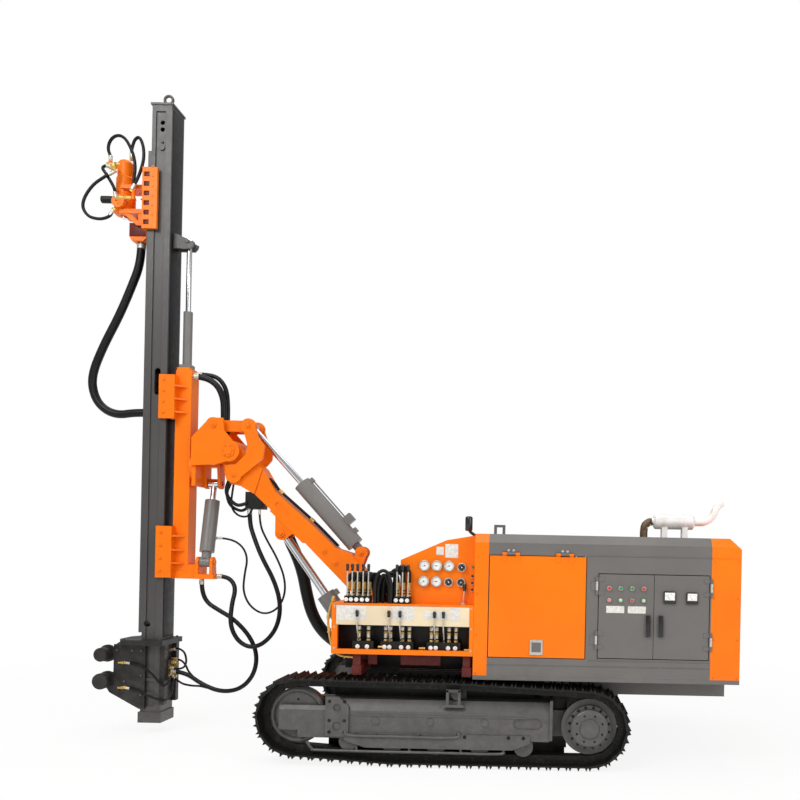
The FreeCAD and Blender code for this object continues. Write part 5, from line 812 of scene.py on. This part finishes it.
def clamp_details():
    """Hoses, fittings and bolts of the clamp unit at the mast's foot."""
    rubber, brass, sleeves = empty(3)
    for radius, route in CLAMP_HOSES:
        bent(rubber, route, radius, 10)
        # The last two routes end inside the foot hose, without a fitting
        for place, step in ends(route)[:2 if route[-1][0] < -2000 else 1]:
            turned(brass, place, step, [(-22, 12), (-2, 12)], 6)
            turned(sleeves, place, step, [(-4, 11), (26, 11), (28, 9.5)], 14)
    for z in (545, 352):
        turned(brass, at(-2586, -146, z), TAIL, [(0, 8), (26, 8), (28, 12), (42, 12)], 6)
    for x, y, z in ((-2222, -62, 440), (-2222, -50, 500), (-2222, 0, 430), (-2222, 20, 560), (-2222, 40, 520),
                    (-2222, 60, 460), (-2222, -20, 540)):
        turned(brass, at(x, y, z), TAIL, [(-6, 15), (16, 15), (18, 12)], 6)
        turned(brass, at(x, y, z), TAIL, [(18, 10), (30, 10)], 12)
    pieces("mast", ("clamp_hoses", HOSE, rubber), ("clamp_fittings", BRASS, brass), ("clamp_sleeves", ZINC, sleeves))
    rows = sides([(x, 141, z, 22) for x, z in ((-2600, 640), (-2480, 640), (-2410, 640), (-2410, 450), (-2410, 300),
                                               (-2540, 400))])
    rows += [((x, y, 725), UP, 24) for x in (-2540, -2260) for y in (-160, 160)]
    bolts("clamp_bolts", "mast", DARK, rows)


def track_frame_details():
    """Ribs, guard rods along the rollers and the carrier's bracket on both track frames, and black sheets of painted
    shade inside the track loops.
    """
    ribs, rods, inner = empty(3)
    both(ribs, (-600, -990, 332), (592, -983, 345), 3)
    for x in (-560, -200, 150):
        both(ribs, (x - 8, -981, 88), (x + 8, -974, 184), 2)
    for x in (45, 125):
        both(ribs, (x, -1003, 412), (x + 20, -990, 522), 2)
    both(ribs, (45, -1003, 506), (145, -990, 527), 2)
    both(ribs, (25, -1004, 404), (165, -984, 424), 2)
    # Painted shade: black sheets inside the track loops, under the top run, between the rollers and by the sprocket,
    # where the tracks' inside lies in shadow
    for low, high in (((-760, -764, 436), (640, -758, 505)), ((-800, -764, 52), (860, -758, 236)),
                      ((745, -770, 100), (872, -765, 470))):
        both(inner, low, high, 1)
    for side in (-1, 1):
        for route in (((-640, 1000, 232), (-598, 1006, 204), (-300, 1006, 202), (100, 1006, 202), (138, 1000, 236)),
                      ((-900, 970, 150), (-862, 976, 104), (-780, 978, 92), (0, 978, 90), (400, 978, 90),
                       (440, 976, 112), (446, 970, 150))):
            bent(rods, [(x, side * y, z) for x, y, z in route], 11)
    pieces("chassis", ("track_frame_ribs", FRAME_GREY, ribs), ("track_frame_rods", FRAME_GREY, rods),
           ("track_inner_shade", BLACK_PAINT_AND_SHADE, inner))


def hood_details():
    """Folded seams, the hatch's plate, bolts and the heat-stained exhaust elbow."""
    grey, orange, elbow, frame_plate, window = empty(5)
    both(grey, (990, -1003.5, 1449), (1828, -999, 1455), 1)
    both(grey, (1003, -1003.5, 741), (1828, -999, 747), 1)
    both(grey, (318, -1003, 700), (1828, -999, 704), 1)
    both(orange, (1830, -1003.5, 1449), (2026, -999, 1455), 1)
    bent(elbow, [(1425, -420, 1592), (1425, -420, 1640), (1433, -420, 1682), (1459, -420, 1706), (1484, -420, 1712)],
         28.6, 20)
    slab(frame_plate, (605, -1009, 772), (693, -1000.5, 876), 3.5, 3)
    slab(window, (617, -1010.5, 792), (681, -1008, 858), 1)
    pieces("hatch_left", ("hatch_plate", ZINC, frame_plate), ("hatch_window", GREY, window))
    pieces("chassis", ("hood_seams", GREY, grey), ("cap_seams", ORANGE, orange), ("exhaust_elbow", RUST, elbow))
    bolts("hatch_hinge_bolts", "chassis", ZINC, sides([(x, 1000, 1477, 18) for x in (449, 483, 815, 849)]))
    rows = [((x, -1000, z), LEFT, 12) for x in (240, 1850, 2010) for z in (640, 900, 1180, 1430)]
    bolts("hood_bolts", "chassis", ORANGE, rows)


def dash_details():
    """Lamps, toggles, blank plates and the small lever on the gauge housing, and the horn over it."""
    lamp, toggles, plates, nuts, stem, knobs, horn = empty(7)
    turned(lamp, at(202, DASH_Y, 1358), LEFT, [(0, 9), (9, 9), (11, 7), (12, 4)], 20)
    for z in (1290, 1243, 1196):
        turned(nuts, at(200, DASH_Y, z), LEFT, [(0, 11), (5, 11)], 6)
        turned(toggles, at(200, DASH_Y - 4, z), (0, -1, 0.35), [(0, 6), (6, 7.5), (18, 9), (22, 7)], 14)
    for low, high in (((-52, 1436), (-2, 1492)), ((8, 1418), (98, 1512))):
        slab(plates, (low[0], DASH_Y - 2.5, low[1]), (high[0], DASH_Y + 0.5, high[1]), 0.8)
    bent(stem, [(140, -918, 1100), (143, -921, 1140), (148, -926, 1196)], 5)
    turned(nuts, at(140, -918, 1099), UP, [(0, 20), (10, 20), (14, 12)], 16)
    knob(knobs, (149, -927, 1240), 13, 48)
    turned(horn, at(159, -800, 1606), UP, [(0, 16), (3, 23), (8, 26), (92, 26), (99, 23), (104, 14)], 28)
    bent(horn, [(159, -800, 1622), (170, -801, 1602), (190, -803, 1586), (214, -806, 1572)], 11, 12)
    pieces("chassis", ("dash_lamp", GREEN, lamp), ("dash_toggles", KNOB, toggles), ("dash_plates", PLATE, plates),
           ("dash_nuts", ZINC, nuts), ("dash_lever", ZINC, stem, "chrome_rod"), ("dash_knob", KNOB, knobs),
           ("horn", KNOB, horn))


def under_console():
    """Painted shade under the console: dark-red legs and apron for orange in shadow, and a black sheet behind them."""
    red, black = empty(2)
    for low, high in ((-596, -546), (152, 202)):
        for y in (-950, -680):
            slab(red, (low - 1.5, y - 21.5, 671), (high + 1.5, y + 21.5, 752), 2)
        slab(red, (low - 6, -982, 609), (high + 10, -705, 673.5), 2)
    for low, high in ((-506, -446), (-281, -10)):
        slab(red, (low - 1.5, -906.5, 674), (high + 1.5, -888.5, 752), 2)
    # Painted shade: black sheets behind the legs and under the console's front
    slab(black, (-720, -640, 613), (216, -634, 751), 1)
    slab(black, (-329, -704, 472), (218, -700.5, 609), 1)
    slab(black, (-662, -547, 550), (-328, -493, 613), 2)
    pieces("chassis", ("console_legs_red", DARK_RED, red), ("console_shade", BLACK_PAINT_AND_SHADE, black))


def valve_hoses():
    """Black hoses that arch from the valve banks, with brass spring guards at their lower ends."""
    rubber, guards, blocks, sleeves = empty(4)
    coil = [(far, 13.4 if far % 6 == 0 else 15.6) for far in range(0, 54, 3)]
    short_coil = [(far, 13 if far % 6 == 0 else 15) for far in range(0, 21, 3)]
    for x in UPPER:
        # The five front hoses arch backwards into the box, the three rear ones forwards in rising steps
        if x < -400:
            route = [(x, -930, 1195), (x, -930, 1250), (x + 8, -922, 1284), (x + 34, -902, 1294), (x + 66, -872, 1268),
                     (x + 86, -850, 1200), (x + 94, -836, 1104)]
        else:
            lift = (0, 22, 44)[UPPER[5:].index(x)]
            route = [(x, -930, 1196), (x, -930, 1256 + lift), (x - 12, -930, 1290 + lift),
                     (x - 44, -929, 1306 + lift), (x - 76, -924, 1292 + lift), (x - 98, -919, 1240 + lift),
                     (x - 104, -918, 1106)]
        bent(rubber, route, 13, 12)
        turned(guards, at(x, -930, 1190), UP, coil, 16)
    for x, lower in ((-592, 0), (-558, 8), (-524, 16)):
        bent(rubber, [(x, -902, 1148), (x, -900, 1236), (x + 18, -894, 1290), (x + 64, -884, 1302 - lower),
                      (x + 118, -872, 1250 - lower), (x + 168, -862, 1180), (x + 196, -858, 1104)], 12, 12)
    for x in LOWER_CAPS:
        bent(rubber, [(x, -935, 892), (x, -934, 930), (x + 6, -926, 990), (x + 22, -904, 1048)], 12.5, 12)
        slab(blocks, (x - 15, -968, 774), (x + 15, -958, 832), 3)
        turned(sleeves, at(x, -934, 914), (0.02, 0, 1), [(0, 13.4), (3, 14.6), (26, 14.6), (29, 13.2)], 16)
        turned(guards, at(x, -935, 888), UP, short_coil, 14)
    pieces("chassis", ("valve_hoses", HOSE, rubber), ("spring_guards", BRASS, guards), ("hose_sleeves", ZINC, sleeves),
           ("valve_blocks", BLACK_PAINT_AND_SHADE, blocks))


def boom_details():
    """The pipes along the boom, the arched hoses over it and their black block."""
    pipes, joints, block = empty(3)
    for radius, route in (
            (14, [(-1640, -74, 1800), (-1715, -80, 1786), (-1782, -82, 1840), (-1800, -82, 1910), (-1776, -84, 1985)]),
            (12, [(-1640, -30, 1772), (-1700, -40, 1744), (-1778, -45, 1786), (-1808, -45, 1880), (-1776, -40, 1975)]),
            (8, [(-1600, -60, 1762), (-1640, -66, 1700), (-1716, -70, 1712), (-1764, -66, 1790), (-1752, -60, 1960)])):
        bent(pipes, route, radius, 12)
    down_the_boom = (0.755, 0, -0.656)
    for y in (-44, -14):
        bent(pipes, [(-1480, y, 2000), (-1440, y, 1962), (-1398, y, 1908), (-1254, y, 1783), (-1110, y, 1658),
                     (-1016, y, 1568), (-930, y, 1483)], 9)
        for x, z in ((-1398, 1908), (-1150, 1693)):
            fitting(joints, at(x, y, z), down_the_boom, [(0, 14), (18, 14)], [(18, 12), (38, 12)])
    slab(block, (-1657, -72, 1758), (-1523, 72, 1892), 6)
    pieces("boom", ("boom_hoses", HOSE, pipes), ("boom_pipe_joints", BRASS, joints),
           ("hose_block_cover", BLACK_PAINT_AND_SHADE, block))


def mast_back_shade():
    """A near-black sheet between the rails at the mast's back, painted shade for the dark inside of the mast."""
    sheet = bmesh.new()
    slab(sheet, (-2272, -90, 740), (-2266, 90, 4858), 1)
    piece("mast_back_shade", "mast", MAST_SHADE, sheet)


def pin_bolts():
    """Bolt heads on the pins' caps from bracket to mast guides: x, y on the right, z, width."""
    for name, body, places in (
            ("tilt_bracket", "tilt_bracket",
             [(-1890, 162, 2400, 26)] + [(-1769 + a, 160, 2202 + b, 12) for a, b in circle(6, 41)]),
            ("rocker", "rocker", [(-1734, 127, 2015, 24), (-1627, 129, 2400, 26)]),
            ("swing", "swing_bracket", [(-635, 135, 1060, 34), (-685, 135, 620, 30)]),
            ("boom", "boom", [(-744, 74, 1433, 26), (-1367, 88, 1570, 30), (-1029, 87, 1441, 22),
                              (-940, 87, 1350, 22)]),
            ("guides", "slide_frame",
             [(-2279, 145, z, 24) for z in (2488, 2573, 2658, 2743, 1260, 1360, 1460, 1560)])):
        rows = [((x, side * y, z), (0, side, 0), width) for x, y, z, width in places for side in (-1, 1)]
        bolts(f"pin_bolts_{name}", body, ORANGE, rows)


def head_skins():
    """Painted shade in dark red: the sides of the hose box under the head, and the pockets in the carriage's cheeks."""
    box, pockets = empty(2)
    both(box, (-2606, -65, 3872), (-2479, -61.5, 3975), 1)
    slab(box, (-2611, -60, 3874), (-2607.5, 60, 3974), 1)
    # Painted shade: thin dark-red plates stand for the pockets' shadow
    for rise in POCKETS:
        both(pockets, (-2464, -138.8, 3939 + rise), (-2422, -136.5, 3975 + rise), 0.5)
    pieces("head", ("hose_box_skin", DARK_RED, box), ("cheek_shade", DARK_RED, pockets))


# Floor and light
def studio():
    """A pale floor, a white surround and three soft lamps."""
    material, tree = blank("pale_floor")
    tint = mix(tree, grain(tree, 600, 2.0), colour("f4f4f3"), colour("f8f8f7"))
    shader = add(tree, "BsdfPrincipled", Base_Color=tint, Roughness=0.8, Specular_IOR_Level=0.1)
    white = add(tree, "Emission", Color=WHITE_LIGHT, Strength=1.0)
    rays = add(tree, "LightPath")
    seen = maths(tree, "MAXIMUM", rays.outputs["Is Camera Ray"], rays.outputs["Is Glossy Ray"])
    # Shadows show near the machine only, and the floor meets the white around it without an edge
    place = add(tree, "NewGeometry").outputs["Position"]
    far = add(tree, "VectorMath", {"operation": "LENGTH"}, _0=place).outputs["Value"]
    share = maths(tree, "MULTIPLY", seen, spread(tree, far, 2.5, 7.0, 0.88, 1.0))
    paper = add(tree, "MixShader", _0=share, _1=shader, _2=white)
    add(tree, "OutputMaterial", Surface=paper)
    # Half the side of the floor, and its height just under the tracks, in metres
    edge, low = 60.0, -0.0015
    mesh = bpy.data.meshes.new("floor")
    mesh.from_pydata([(-edge, -edge, low), (edge, -edge, low), (edge, edge, low), (-edge, edge, low)], [],
                     [(0, 1, 2, 3)])
    floor = linked("floor", mesh)
    floor.data.materials.append(material)

    # The camera sees white, and a weaker sky lights the machine
    world = bpy.data.worlds.new("studio")
    scene.world = world
    world.use_nodes = True
    tree = world.node_tree
    tree.nodes.clear()
    sky = add(tree, "Background", Color=WHITE_LIGHT, Strength=0.46)
    paper = add(tree, "Background", Color=WHITE_LIGHT, Strength=1.0)
    rays = add(tree, "LightPath")
    shown = add(tree, "MixShader", _0=rays.outputs["Is Camera Ray"], _1=sky, _2=paper)
    add(tree, "OutputWorld", Surface=shown)
    # Lamps: place and target, side in metres, power in watts
    for label, place, target, size, power in (
            ("key", (-3.5, -7.5, 8.0), (0.0, 0.0, 1.5), 5.0, 520),
            ("fill", (6.5, -6.5, 4.0), (0.5, 0.0, 1.2), 5.0, 215),
            ("top", (0.0, 1.0, 9.0), (0.0, 0.0, 0.0), 7.0, 310)):
        lamp = bpy.data.lights.new(label, "AREA")
        lamp.size = size
        lamp.energy = power
        holder = linked(label, lamp)
        holder.location = place
        holder.rotation_euler = (Vector(target) - Vector(place)).to_track_quat("-Z", "Y").to_euler()


for build in (free_hoses, running_gear, gauge_faces, valve_details, console_details, cabinet_details, head_details,
              clamp_details, track_frame_details, hood_details, dash_details, under_console, valve_hoses,
              boom_details, mast_back_shade, pin_bolts, head_skins, studio):
    build()
scene.view_settings.view_transform = "Standard"
